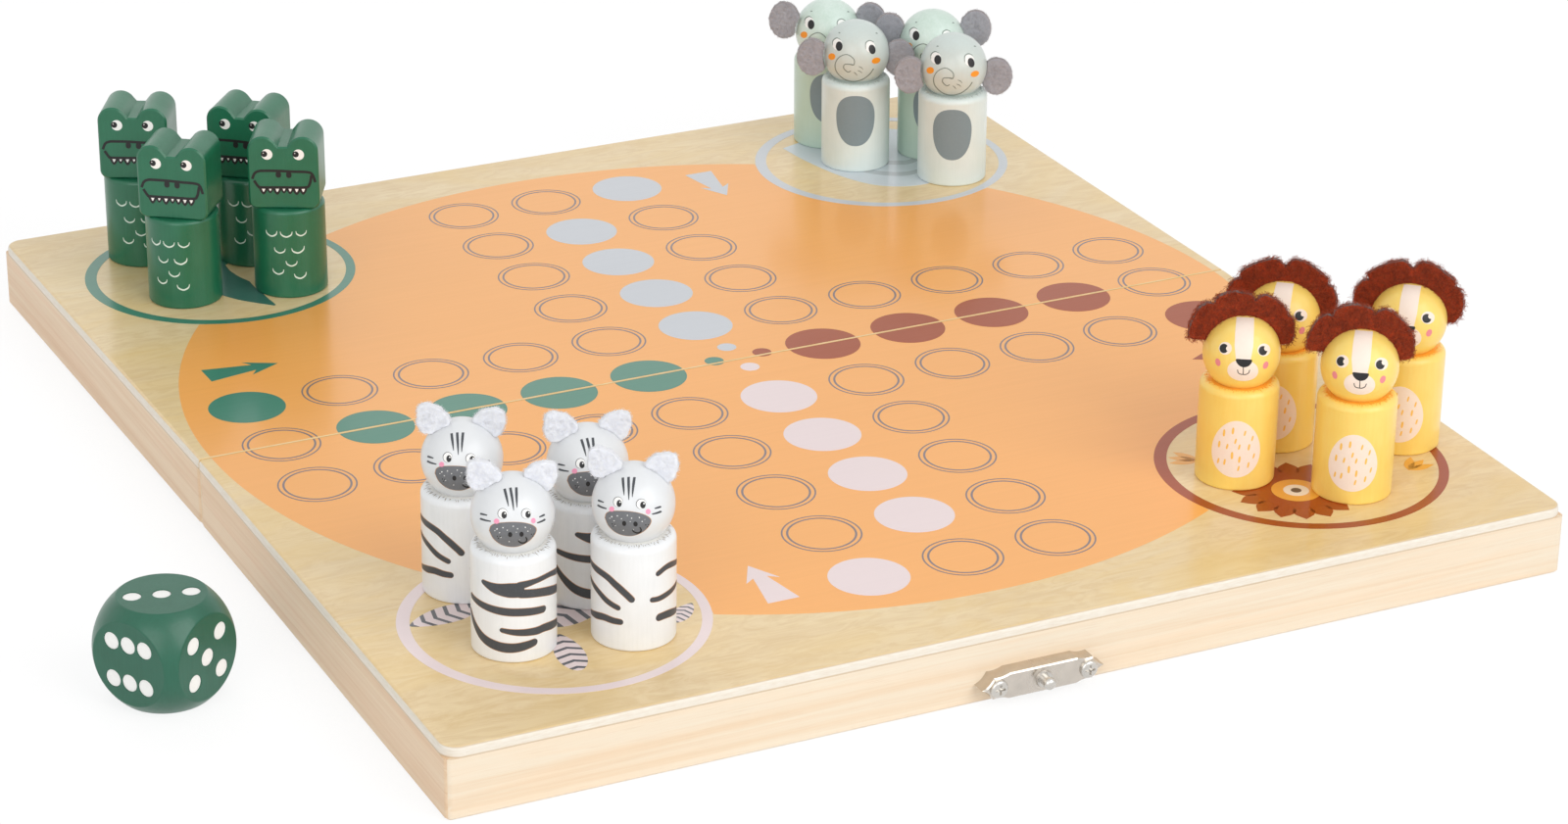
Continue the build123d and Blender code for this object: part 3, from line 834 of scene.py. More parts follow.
def drawHouses(film, height):
    # each yard has a ring and a plain motif of its colour: barred leaves, green leaves, a pond, a flower
    for ink, (sx, sy) in yards.items():
        centre = (course["house"][0] * sx, course["house"][1] * sy)
        inner = tuple(part + shift for part, shift in zip(centre, course["houseShift"]))
        rims = ((centre, course["houseOuter"]), (inner, course["houseInner"]))
        film.add(band(*(oval(*rim, 0, course["housePoints"]) for rim in rims)), ink, height)
    for u, v, turn, length, width in houses["lilac"]:
        for bars, ink in zip(barredLeaf(length, width), ("lilac", "charcoal")):
            film.add(moved(bars, (u, v), turn), ink, height)
    for u, v, turn, length, width in houses["green"]:
        film.add(moved(leafShape(length, width), (u, v), turn), "green", height)
    film.add(stroke(houses["sickle"], houses["sickleWidths"], 10, 2), "forest", height + course["step"])
    film.add(fan(loop(houses["pond"], 8), 2, houses["pondMiddle"]), "pond", height)
    for ripple in houses["ripples"]:
        film.add(stroke(ripple, houses["rippleWidths"], 8, 2), "ripple", height + 2 * course["step"])
    petals, flower = houses["petals"], houses["flower"]
    for i in range(petals["count"]):
        turn = 2 * pi * i / petals["count"]
        place = (flower[0] - sin(turn) * petals["reach"], flower[1] + cos(turn) * petals["reach"])
        film.add(moved(leafShape(*petals["size"]), place, turn), "brown", height)
    for step, (radius, ink) in enumerate(houses["rings"]):
        film.add(fan(oval(flower, radius, 0, 48), 2), ink, height + 2 * course["step"] * (step + 1))
    for u, v, turn in houses["tufts"]:
        for side in houses["blade"]["turns"]:
            film.add(moved(leafShape(*houses["blade"]["size"]), (u, v), turn + side), "amber", height)


def leaning(side):
    # the ways down a tray's slope and up from it
    return Vector((0, side * cos(lean), -sin(lean))), Vector((0, side * sin(lean), cos(lean)))


def traySurface(side, u, v, h):
    slope, up = leaning(side)
    return (Vector((u, 0, 0)) + slope * abs(v) + up * (course["lift"] + h)) * mm


def printCourse():
    film = Film(printInks)
    film.add(fan(groundOutline(), 1, (0, 0)), "orange", course["groundHeight"])
    height, pitch = course["markHeight"], course["pitch"]
    starts = {quarterTurn((-1, -5), turn) for turn in range(4)}
    cells = {quarterTurn((i, -j), turn) for turn in range(4) for i in (-1, 1) for j in range(1, 6)}
    cells |= {quarterTurn((0, -5), turn) for turn in range(4)}
    spots = [(u * pitch, v * pitch) for u, v in sorted(cells - starts)]
    for field in ("field", "innerField"):
        film.stamp(rings, spots, "line", height, course[field])
    for turn, (ink, dot) in enumerate(course["dots"].items()):
        homes = [quarterTurn((0, -k * pitch), turn) for k in range(1, 5)]
        homes.append(quarterTurn((-pitch, -5 * pitch), turn))
        film.stamp(discs, homes, ink, height, {"Radius": course["field"]["Radius"]})
        film.add(fan(oval(dot, course["dotRadius"], 0, 48)), ink, height)
        arrow = [quarterTurn(point, turn) for point in course["arrow"]]
        film.add((arrow, [range(len(arrow))]), ink, height)
    drawHouses(film, height)
    for side, name in ((-1, "front"), (1, "back")):
        piece = layOn(name + "Print", film.half(side, course["foldMargin"]), traySurface, side)
        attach(piece, name + "_tray")


printCourse()
print("course printed")

# Pawns

herds = {
    "zebra": [(-104.6, -111.7, -23), (-79.8, -117.5, -32), (-104.0, -82.8, -29), (-80.9, -96.2, -18)],
    "lion": [(75.7, -103.4, -22), (96.0, -120.6, -28), (120.1, -103.3, -34), (94.3, -90.3, -32)],
    "elephant": [(86.3, 108.2, -29), (104.5, 87.9, -27), (87.4, 127.0, -32), (108.4, 107.1, -31)],
    "crocodile": [(-105.2, 94.3, -36), (-79.3, 89.8, -27), (-105.6, 124.8, -29), (-80.6, 113.0, -39)],
}
# where each head and each body was turned when it was glued, from the front of the board
gazes = {
    "zebra": [(-19, -22), (-30, -24), (-26, -22), (-16, 6)],
    "lion": [(-29, -32), (-33, -34), (-37, -38), (-36, -38)],
    "elephant": [(-31, -27), (-29, -28), (-31, -24), (-31, -26)],
    "crocodile": [(-36, -24), (-27, -20), (-29, -18), (-39, -20)],
}
pawn = {"radius": 9.0, "height": 24.0, "shoulder": 1.6, "ball": 8.75, "ballCentre": 30.4, "stump": 22.8,
        "blockDeep": 13.4, "ink": 0.035}


def stand(spot, turn):
    # the pawn's own axes: x to its right, y behind it, z up, at the playing surface
    x, y = spot
    slope, up = leaning(-1 if y < 0 else 1)
    place = Vector((x, 0, 0)) + slope * abs(y) + up * course["lift"]
    heading = Vector((cos(radians(turn)), sin(radians(turn)), 0))
    right = (heading - up * heading.dot(up)).normalized()
    axes = Matrix((right, up.cross(right), up)).transposed().to_4x4()
    return Matrix.Translation(place) @ axes


def ballSurface(standing, tilt, yaw, a, b, h):
    # for marks drawn as seen from tilt degrees above and turned yaw degrees, in ball radii
    e, w = radians(tilt), sqrt(max(0.0, 1 - a * a - b * b))
    out = Vector((a, b * sin(e) - w * cos(e), b * cos(e) + w * sin(e)))
    out = Matrix.Rotation(radians(-yaw), 3, "Z") @ out
    return standing @ (Vector((0, 0, pawn["ballCentre"])) + out * (pawn["ball"] + h)) * mm


def bodySurface(standing, u, z, h):
    # for marks drawn as unrolled from the body: along its girth and up
    angle, reach = u / pawn["radius"], pawn["radius"] + h
    return standing @ Vector((sin(angle) * reach, -cos(angle) * reach, z)) * mm


def neckSurface(standing, u, v, h):
    # the flat end of the turned body and its rounded rim, from above
    past = max(0.0, hypot(u, v) - (pawn["radius"] - pawn["shoulder"]))
    drop = pawn["shoulder"] - sqrt(pawn["shoulder"] ** 2 - past ** 2)
    return standing @ Vector((u, v, pawn["height"] - drop + h)) * mm


def blockSurface(standing, u, v, h):
    # the front of a crocodile's head
    return standing @ Vector((u, -pawn["blockDeep"] / 2 - h, pawn["stump"] + v)) * mm


def joined(name, pieces):
    # one piece from several
    whole = bmesh.new()
    used = []
    for piece in pieces:
        start = len(whole.faces)
        whole.from_mesh(piece.data)
        whole.faces.ensure_lookup_table()
        for face in whole.faces[start:]:
            ink = piece.data.materials[face.material_index]
            if ink not in used:
                used.append(ink)
            face.material_index = used.index(ink)
        bpy.data.objects.remove(piece)
    mesh = bpy.data.meshes.new(name)
    whole.to_mesh(mesh)
    whole.free()
    for ink in used:
        mesh.materials.append(ink)
    return placed(name, mesh)


paints = {
    # colour, its shade, gloss, coat, and a head colour that is painted shade on zebras and grey elephants and
    # painted light on mint ones
    "zebra": ((244, 246, 248), (231, 233, 234), 0.36, 0.25, (229, 231, 233)),
    "lion": ((255, 222, 118), (255, 209, 94)),
    "elephant": ((226, 237, 234), (214, 227, 223), 0.34, 0.25, (206, 215, 210)),
    "mint": ((200, 222, 207), (187, 212, 195), 0.34, 0.25, (221, 237, 228)),
    "crocodile": ((31, 110, 79), (22, 94, 65), 0.34, 0.14),
    "die": ((27, 97, 74), (21, 84, 61), 0.36, 0.14),
}
inks = {
    # colour and how unevenly it lies
    "charcoal": ((70, 73, 78), 0.3),
    "black": ((28, 27, 29), 0.2),
    "white": ((252, 251, 248), 0.05),
    "muzzle": ((112, 114, 118), 0.35),
    "rust": ((196, 150, 112), 0.2),
    "pink": ((250, 160, 190), 0.2),
    "rose": ((238, 142, 150), 0.2),
    "cream": ((252, 233, 218), 0.1),
    "straw": ((253, 200, 96), 0.1),
    "slate": ((130, 147, 154), 0.12),
    "trunk": ((128, 140, 132), 0.2),
    "orange": ((252, 156, 36), 0.2),
    "scale": ((222, 238, 228), 0.1),
    # the neck inks are painted shade in a ring round the neck; the tick inks are marks of bare end grain
    "zebraNeck": ((235, 233, 228), 0.3),
    "zebraTick": ((150, 138, 122), 0.4),
    "lionNeck": ((250, 178, 66), 0.2),
    "lionTick": ((240, 150, 40), 0.3),
    "elephantNeck": ((196, 204, 198), 0.3),
    "elephantTick": ((168, 176, 174), 0.3),
    "mintNeck": ((164, 192, 174), 0.3),
}
felts = {
    # pale, dark and sheen of the faces, of the cut edges and of the loose hairs
    # the cut edges' colours are painted shade on the felt's sides, darker than the faces on the lion's and
    # elephant's felt
    "zebra": [((253, 254, 255), (234, 237, 250)), ((255, 255, 255), (240, 242, 252)),
              ((254, 254, 255), (238, 240, 248))],
    "lion": [((186, 66, 28), (78, 18, 3), 0.08), ((112, 80, 72), (52, 34, 32), 0.4),
             ((204, 84, 38), (88, 24, 6), 0.1)],
    "elephant": [((181, 181, 188), (149, 149, 158)), ((170, 160, 160), (128, 116, 118)),
                 ((200, 197, 200), (160, 157, 161))],
}
paints = {name: paintFinish(name + "Paint", *look) for name, look in paints.items()}
inks = {ink: inkFinish("ink" + capital(ink), *look) for ink, look in inks.items()}
for animal, looks in felts.items():
    named = zip(("Felt", "FeltShadedEdge", "Fibre"), looks)
    felts[animal] = [feltFinish(animal + part, *look) for part, look in named]


def dab(ink, height, radii=None, layers=3, shape=(), shift=(0, 0)):
    # one printed oval; without radii, each place gives its own radii and turn
    return ink, height, radii, layers, shape, shift


def drawMarks(look):
    # lines: ink, height, widths, style, knots of each; fields: knots, middle, steps, layers, inks;
    # dabs: places and the ovals put on each
    film = Film(inks, pawn["ink"])
    for ink, height, widths, style, lines in look["lines"]:
        for line in lines:
            film.add(stroke(line, widths, *style), ink, height)
    for knots, middle, steps, layers, coats in look.get("fields", ()):
        for ink, height, size in coats:
            outline = [grown(point, middle, size) for point in loop(knots, steps)]
            film.add(fan(outline, layers, middle), ink, height)
    for places, ovals in look["dabs"]:
        for u, v, *own in places:
            for ink, height, radii, layers, shape, (du, dv) in ovals:
                *radii, turn = own or (*radii, 0.0)
                film.add(fan(oval((u + du, v + dv), tuple(radii), turn, *shape), layers), ink, height)
    if "chips" in look:
        chip = fan(oval((0, 0), look["chip"], 0.4, 9))
        sizes = {"Turn": pi, "Least Size": 0.4, "Most Size": 1.2, "Seed": 5}
        film.stamp(marks, look["chips"], "white", 0.026, sizes, chip)
    return film


zebraFace = {
    "tilt": 25.4,
    "yaw": 3.8,
    "lines": [
        ("charcoal", 0.0, [0.06, 0.062, 0.046, 0.014], (6,), [
            [(-0.175, 0.575), (-0.125, 0.36), (-0.085, 0.165)],
            [(-0.04, 0.60), (0.005, 0.33), (0.035, 0.065)],
            [(0.1, 0.605), (0.105, 0.37), (0.11, 0.135)],
        ]),
        ("charcoal", 0.0, [0.046, 0.042, 0.026], (5, 1, True), [
            [(-0.755, 0.0), (-0.66, -0.022), (-0.585, -0.04)],
            [(-0.76, -0.115), (-0.64, -0.155), (-0.5, -0.182)],
            [(0.76, -0.04), (0.7, -0.068), (0.625, -0.098)],
            [(0.772, -0.15), (0.69, -0.195), (0.575, -0.235)],
        ]),
        ("black", 0.03, [0.03, 0.036, 0.036, 0.03], (5, 2, True), [
            [(0.305, -0.555), (0.333, -0.62), (0.3, -0.68), (0.232, -0.698), (0.165, -0.675), (0.13, -0.635)],
        ]),
    ],
    "fields": [([
        (-0.535, -0.4), (-0.49, -0.285), (-0.33, -0.225), (0.06, -0.205), (0.36, -0.245), (0.53, -0.335),
        (0.535, -0.46), (0.4, -0.635), (0.19, -0.755), (-0.02, -0.785), (-0.25, -0.735), (-0.44, -0.59),
    ], (0.01, -0.48), 6, 8, [("rust", 0.0, 1.028), ("muzzle", 0.012, 1.0)])],
    "dabs": [
        ([(-0.225, 0.0), (0.325, -0.01)], [
            dab("charcoal", 0.0, (0.118, 0.1239)),
            dab("white", 0.012, (0.10974, 0.11564), shift=(0.006, -0.004)),
        ]),
        ([(-0.19, -0.035), (0.365, -0.03)], [
            dab("black", 0.024, (0.062, 0.082)),
            dab("white", 0.036, (0.018, 0.018), 1, (16,), (0.022, 0.034)),
        ]),
        ([(-0.368, -0.18, 0.063, 0.06, 0), (0.49, -0.178, 0.052, 0.062, 0)], [dab("pink", 0.012, None, 2)]),
        ([(-0.055, -0.495), (0.21, -0.49)], [dab("black", 0.026, (0.05, 0.06), 2, (24,))]),
        ([(-0.35, -0.53), (-0.29, -0.535), (-0.33, -0.58), (0.44, -0.495), (0.5, -0.49), (0.475, -0.54)],
         [dab("black", 0.026, (0.014, 0.014), 1, (12,))]),
    ],
    "chip": (0.016, 0.0128),
    "chips": [(-0.41, -0.4), (-0.36, -0.36), (-0.3, -0.45), (-0.22, -0.33), (-0.12, -0.39), (0.02, -0.3),
              (0.12, -0.36), (0.09, -0.44), (0.3, -0.33), (0.36, -0.42), (-0.27, -0.56), (0.16, -0.62),
              (-0.08, -0.66), (0.42, -0.37)],
}
lionFace = {
    "tilt": 23.2,
    "yaw": 3.4,
    "lines": [
        ("cream", 0.0, [0.44, 0.47, 0.47, 0.37], (8, 8),
         [[(0.045, 0.88), (0.045, 0.5), (0.05, 0.15), (0.055, -0.2)]]),
        ("black", 0.02, [0.02, 0.02], (6,), [
            [(0.07, -0.38), (0.072, -0.46), (0.072, -0.555)],
            [(-0.075, -0.45), (-0.055, -0.525), (0.0, -0.56), (0.07, -0.565), (0.14, -0.56), (0.205, -0.52),
             (0.235, -0.44)],
        ]),
    ],
    "fields": [([
        (-0.135, -0.2), (-0.10, -0.178), (0.07, -0.18), (0.245, -0.178), (0.278, -0.2), (0.26, -0.27),
        (0.19, -0.35), (0.075, -0.383), (-0.03, -0.35), (-0.11, -0.27),
    ], (0.07, -0.26), 4, 3, [("black", 0.02, 1.0)])],
    "dabs": [
        ([(0.06, -0.465)], [dab("cream", 0.006, (0.39, 0.268), 8, (60, 0.95))]),
        ([(-0.415, 0.07), (0.56, 0.085)], [dab("cream", 0.0, (0.162, 0.162))]),
        ([(-0.45, 0.065), (0.535, 0.065)], [dab("black", 0.014, (0.108, 0.118))]),
        ([(-0.335, 0.07), (0.62, 0.13)], [dab("cream", 0.028, (0.058, 0.066), 2)]),
        ([(-0.58, -0.295, 0.062, 0.1, 0.35), (0.628, -0.3, 0.062, 0.1, -0.35)],
         [dab("rose", 0.006, None, 2)]),
    ],
}
elephantFace = {
    "tilt": 19.7,
    "yaw": -3.7,
    "lines": [
        ("trunk", 0.0, [0.012, 0.035, 0.012], (4,), [
            [(-0.53, 0.555), (-0.505, 0.57), (-0.475, 0.565)],
            [(0.575, 0.57), (0.61, 0.57), (0.64, 0.555)],
        ]),
        ("trunk", 0.014, [0.012, 0.026, 0.026, 0.012], (6,), [
            [(-0.7, 0.19), (-0.69, 0.33), (-0.58, 0.41), (-0.47, 0.36)],
            [(0.29, 0.09), (0.29, 0.27), (0.4, 0.345), (0.53, 0.3)],
        ]),
        ("trunk", 0.006, [0.026, 0.026], (6,), [
            [(-0.19, -0.37), (-0.06, -0.385), (-0.06, -0.22), (-0.27, -0.08), (-0.505, -0.17),
             (-0.62, -0.385), (-0.56, -0.62), (-0.32, -0.825), (-0.05, -0.88), (0.21, -0.81), (0.42, -0.65),
             (0.53, -0.49)],
            [(-0.06, -0.385), (-0.19, -0.37), (-0.335, -0.38), (-0.36, -0.49), (-0.24, -0.6),
             (-0.15, -0.57)],
        ]),
        ("trunk", 0.006, [0.01, 0.026, 0.01], (4,), [
            [(0.08, -0.43), (0.16, -0.46), (0.22, -0.52)],
            [(0.05, -0.55), (0.13, -0.58), (0.19, -0.625)],
            [(-0.06, -0.6), (0.0, -0.645), (0.045, -0.7)],
        ]),
    ],
    "dabs": [
        ([(-0.56, 0.22, 0.14, 0.17, 0.0), (0.43, 0.15, 0.14, 0.17, 0.25)], [dab("white", 0.0)]),
        ([(-0.505, 0.165, 0.1, 0.142, 0.0), (0.48, 0.08, 0.1, 0.142, 0.25)], [dab("black", 0.014)]),
        ([(-0.72, -0.145, 0.105, 0.098, 0.0), (0.6, -0.25, 0.13, 0.085, 0.35)], [dab("orange", 0.006)]),
    ],
}
crocodileFace = {
    "lines": [
        ("black", 0.006, [0.66, 0.66], (6,), [
            [(-7.65, 7.7), (-6.95, 9.2), (-5.9, 9.75), (-4.6, 9.85), (-1.1, 9.85), (2.5, 9.7), (5.9, 9.6),
             (7.1, 9.0), (7.75, 7.0)],
        ]),
        ("black", 0.02, [0.66, 0.66], (6,), [
            [(-7.2, 7.3), (-6.2, 5.75), (-5.3, 5.5), (0.0, 5.55), (5.2, 5.6), (6.3, 6.4), (6.9, 8.8)],
        ]),
    ],
    "dabs": [
        ([(-3.8, 14.1), (3.9, 14.1)], [
            dab("white", 0.0, (1.36, 1.36), 2),
            dab("black", 0.014, (0.78, 0.78), 1, (28,), (-0.68, 0.1)),
            dab("white", 0.028, (0.13, 0.13), 1, (12,), (-0.88, 0.35)),
        ]),
        ([(-1.2, 8.9), (1.35, 8.85)], [dab("black", 0.014, (0.66, 0.82), 1, (24, 0.8))]),
    ],
}
faces = {"zebra": zebraFace, "lion": lionFace, "elephant": elephantFace, "crocodile": crocodileFace}
teeth = {"tops": 5.5, "sizes": [(-5.0, 0.86), (-3.35, 0.7), (-1.65, 0.88), (0.0, 0.7), (1.5, 0.78),
                                (3.1, 0.88), (4.7, 0.84)]}
scales = {
    "rows": [(17.0, (-3.8, 0.0, 3.7)), (12.7, (-1.8, 2.8)), (9.3, (1.0,)), (7.1, (-2.4,)), (5.9, (3.1,))],
    "radius": 1.48,
    "widths": [0.12, 0.37, 0.37, 0.37, 0.12],
    "shifts": [-2.7, -0.7, -1.5, -1.0],
}
stripes = {
    # girth and height in millimetres, as unrolled; the belly side stays open in its middle
    "belly": [
        ([(-13.4, 17.6), (-6.9, 17.0), (-3.9, 15.4), (-1.5, 13.4), (0.0, 11.8)], [1.1, 1.5, 1.5, 1.5, 1.3]),
        ([(-13.4, 13.8), (-8.9, 12.5), (-5.8, 11.0), (-2.8, 9.9)], [1.0, 1.3, 1.3, 1.1]),
        ([(-13.2, 5.6), (-9.6, 6.4), (-6.9, 7.0), (-4.4, 6.9), (-2.2, 6.9)], [0.9, 1.5, 1.5, 1.2]),
        ([(13.4, 17.2), (8.2, 18.4), (4.8, 17.4)], [1.0, 1.3, 1.1]),
        ([(13.4, 12.5), (8.2, 12.0), (5.3, 11.7), (3.4, 11.9)], [1.0, 1.2, 1.2, 1.0]),
        ([(13.2, 6.0), (8.2, 7.2), (4.8, 7.3)], [1.1, 1.7, 1.6]),
    ],
    "back": [
        ([(-7.4, 18.0), (-3.7, 17.1), (0.5, 17.0), (2.2, 17.1)], [0.8, 2.2, 3.2, 3.3]),
        ([(0.4, 17.9), (4.8, 18.5), (8.8, 18.6), (13.4, 17.4)], [1.8, 1.1, 1.1, 1.4]),
        ([(0.4, 16.3), (4.8, 15.7), (8.1, 15.0), (13.4, 13.4)], [1.9, 1.8, 1.9, 1.6]),
        ([(-12.2, 12.9), (-7.2, 12.4), (-2.0, 12.0), (2.1, 11.8), (7.4, 11.3)], [1.1, 1.5, 1.7, 1.7, 1.5]),
        ([(-3.1, 7.7), (0.5, 7.2), (4.8, 6.9), (7.4, 6.9), (13.2, 5.7)], [0.9, 1.4, 1.7, 1.8, 1.5]),
        ([(-12.8, 9.4), (-10.1, 6.8), (-7.2, 4.8), (-3.7, 3.8), (-0.3, 3.6), (3.0, 4.1), (5.0, 4.6)],
         [1.0, 1.5, 1.9, 2.1, 2.1, 1.9, 1.5]),
    ],
}
stripeRim = 0.24  # how much wider the rust under a stripe is
bellies = {
    # ink, height, radii, squareness and taper
    "lion": ("cream", 10.4, (5.7, 7.0), 1.0, -0.022),
    "elephant": ("slate", 14.4, (5.3, 7.0), 0.88, 0.012),
}
dash = {"radii": (0.27, 0.85), "turn": -0.12, "points": 14, "squareness": 0.8}
dashes = [(-0.9, 14.9), (1.8, 14.4), (-2.9, 14.1), (-0.2, 12.4), (-3.9, 11.1), (-2.0, 10.9), (0.7, 11.0),
          (2.9, 10.9), (-0.8, 8.8), (0.9, 7.9), (-2.4, 7.0), (-3.9, 7.0), (3.0, 6.5), (0.8, 5.7), (3.6, 13.0),
          (4.2, 8.6)]


def crocodileFilm():
    film = drawMarks(faces["crocodile"])
    top = teeth["tops"]
    for u, r in teeth["sizes"]:
        middle, low = (u, top - r * 0.6), top - r * 1.05
        shell = [(u - r - 0.22, top + 0.15), (u - r * 0.95, low), (u, top - r * 2.15), (u + r * 0.95, low),
                 (u + r + 0.22, top + 0.15)]
        film.add(fan(through(shell, 4), 1, middle), "black")
        tooth = [(u - r * 0.5, top - r * 0.25), (u + r * 0.5, top - r * 0.25), (u, top - r * 1.3)]
        film.add(fan(loop(tooth, 5), 1, middle), "white", 0.014)
    return film


def bodyFilm(animal, index, side):
    film = Film(inks, pawn["ink"])
    if animal == "zebra":
        for knots, widths in stripes[side]:
            film.add(stroke(knots, [width + stripeRim for width in widths], 8, 3, True), "rust")
            film.add(stroke(knots, widths, 8, 3, True), "charcoal", 0.014)
    elif animal == "crocodile":
        r = scales["radius"]
        knots = [(-r, r * 0.42), (-r * 0.8, -r * 0.14), (0, -r * 0.5), (r * 0.8, -r * 0.14), (r, r * 0.42)]
        spots = [(u + scales["shifts"][index], z) for z, row in scales["rows"] for u in row]
        sizes = {"Turn": 0.08, "Least Size": 0.92, "Most Size": 1.08, "Seed": 7}
        film.stamp(marks, spots, "scale", 0.0, sizes, stroke(knots, scales["widths"], 4))
    else:
        ink, height, radii, squareness, taper = bellies[animal]
        egg = [(u * (1 + taper * v), v) for u, v in oval((0, 0), radii, 0, 64, squareness)]
        film.add(moved(fan(egg, 8), (0.0, height)), ink)
    if animal == "lion":
        sizes = {"Turn": 0.12, "Least Size": 0.75, "Most Size": 1.1, "Seed": 4}
        film.stamp(marks, dashes, "straw", 0.014, sizes, fan(oval((0, 0), *dash.values())))
    return film


# painted shade in a ring round the neck where the ball sits, and ticks of bare end grain that show through
# round it
neck = {"neckShade": (5.6, 7.1), "wobble": 0.18, "points": 72, "reach": (6.9, 7.9), "tick": (0.5, 0.06),
        "count": 110}


def neckFilm(shadeInk, tickInk, seed):
    film = Film(inks, pawn["ink"])
    random.seed(seed)
    inner, outer = neck["neckShade"]
    count = neck["points"]
    wobble = [outer + random.uniform(-neck["wobble"], neck["wobble"]) for _ in range(count)]
    edge = [(r * cos(2 * pi * i / count), r * sin(2 * pi * i / count)) for i, r in enumerate(wobble)]
    # the ring of painted shade round the neck
    film.add(band(edge, oval((0, 0), inner, 0, count)), shadeInk)
    spots = []
    for i in range(neck["count"]):
        angle, reach = 2 * pi * (i + random.random()) / neck["count"], random.uniform(*neck["reach"])
        spots.append((reach * cos(angle), reach * sin(angle)))
    length, half = neck["tick"]
    tick = ([(-length, 0), (0, -half), (length, 0), (0, half)], [(0, 1, 2, 3)])
    sizes = {"Turn": 0.16, "Least Size": 0.4, "Most Size": 1.25, "Seed": seed}
    film.stamp(ticks, spots, tickInk, 0.012, sizes, tick)
    return film


def pawnParts(animal, index, spot, turn):
    headTurn, bodyTurn = gazes[animal][index]
    rolled = stand(spot, bodyTurn)
    near, far = ("back", "belly") if index in (0, 3) else ("belly", "back")
    body = layOn("body", bodyFilm(animal, index, near), bodySurface, rolled)
    if animal == "crocodile":
        return [layOn("face", crocodileFilm(), blockSurface, stand(spot, turn)), body]
    look, standing = faces[animal], stand(spot, headTurn)
    parts = [layOn("face", drawMarks(look), ballSurface, standing, look["tilt"], look["yaw"]), body]
    if animal == "zebra":
        behind = stand(spot, bodyTurn + 180)
        parts.append(layOn("farSide", bodyFilm(animal, index, far), bodySurface, behind))
    neckShade = ("mint" if animal == "elephant" and index > 1 else animal) + "Neck"
    neckMarks = neckFilm(neckShade, animal + "Tick", index + 5)
    return parts + [layOn("neck", neckMarks, neckSurface, rolled)]


for animal, herd in herds.items():
    for index, (x, y, turn) in enumerate(herd):
        body = f"{animal}_pawn_{index + 1}"
        piece = joined(f"{animal}Marks{index + 1}", pawnParts(animal, index, (x, y), turn))
        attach(piece, body)
        for node in (body, body + "_body", body + "_head"):
            if node in nodes:
                coat(node, paints["mint" if animal == "elephant" and index > 1 else animal])
print("pawns painted")

# Felt ears and manes

felt = {
    "thick": 1.6,
    "voxel": 0.22,
    "rough": 0.13,
    "inside": 0.985,  # the share of the ball's radius that an outline may come in to
    "clear": 0.02,
    "edgeTurn": 0.6,
    # how far each back stands behind the middle of the ball, on the left and on the right
    "behind": {
        "zebra": [(-0.6, 1.0)] * 4,
        "elephant": [(-2.6, 1.0), (-2.6, 1.0), (-2.6, 1.0), (0.0, 1.0)],
        "lion": [(1.7,)] * 4,
    },
    # the left ear's and the right ear's corners, out from the middle of the ball and up
    "zebraEars": [
        [(1.5, 9.1), (4.2, 12.2), (7.2, 13.1), (9.1, 12.4), (9.3, 8.2), (8.1, 6.1), (5.6, 6.3), (3.4, 7.6)],
        [(1.8, 8.9), (4.4, 11.2), (6.9, 11.8), (9.1, 11.3), (9.4, 8.6), (8.4, 5.9), (6.6, 4.6), (4.2, 6.6)],
    ],
    "zebraRound": 1.3,
    "elephantEar": (4.1, 5.0),
    "elephantOut": 11.3,
    "elephantLifts": [(-0.3, -1.3), (-1.4, -2.8), (3.7, 3.2), (2.9, 4.1)],
    "frontMane": [
        [(8.6, 1.4), (10.2, 1.5), (11.2, 2.0), (11.7, 3.8), (11.6, 5.8), (11.1, 8.0), (10.0, 8.3)],
        [(10.0, 8.3), (9.8, 9.7), (7.6, 11.9), (5.2, 13.4), (3.7, 13.1), (2.4, 11.8)],
        [(2.4, 11.8), (1.7, 13.5), (-2.4, 14.4), (-5.9, 13.2), (-6.7, 11.4)],
        [(-6.7, 11.4), (-8.0, 11.8), (-10.3, 10.1), (-12.0, 5.6), (-11.8, 3.5), (-10.4, 3.0), (-8.6, 3.1)],
    ],
    "backMane": [
        [(8.6, -0.5), (10.4, -0.1), (11.7, 1.8), (12.1, 4.5), (11.2, 7.6), (9.7, 8.1)],
        [(9.7, 8.1), (9.9, 9.5), (8.4, 10.9), (5.4, 13.1), (2.9, 13.9), (1.6, 13.7), (0.2, 12.0)],
        [(0.2, 12.0), (-1.9, 13.9), (-4.6, 13.4), (-7.1, 12.3), (-9.9, 10.2), (-9.3, 8.7)],
        [(-9.3, 8.7), (-11.0, 8.4), (-12.3, 6.4), (-12.6, 4.2), (-12.1, 1.6), (-10.6, -0.5), (-8.6, -0.7)],
    ],
    "maneInside": 8.0,
    # hairs to a square metre, their length and thickness, and how flat they lie
    "fibres": {
        "zebra": (9e6, 1.0, 0.022, 0.2, 0.9),
        "elephant": (6e6, 0.8, 0.024, 0.3, 1.0),
        "lion": (7e6, 1.9, 0.05, 0.55, 1.0),
    },
}


def rounded(corners, radius):
    outline = []
    for i, corner in enumerate(corners):
        here = Vector(corner)
        before, after = Vector(corners[i - 1]) - here, Vector(corners[(i + 1) % len(corners)]) - here
        half = before.angle(after) / 2
        middle = here + (before.normalized() + after.normalized()).normalized() * (radius / sin(half))
        start = here + before.normalized() * (radius / tan(half)) - middle
        stop = here + after.normalized() * (radius / tan(half)) - middle
        outline += [tuple(middle + start.lerp(stop, k / 5).normalized() * radius) for k in range(6)]
    return outline


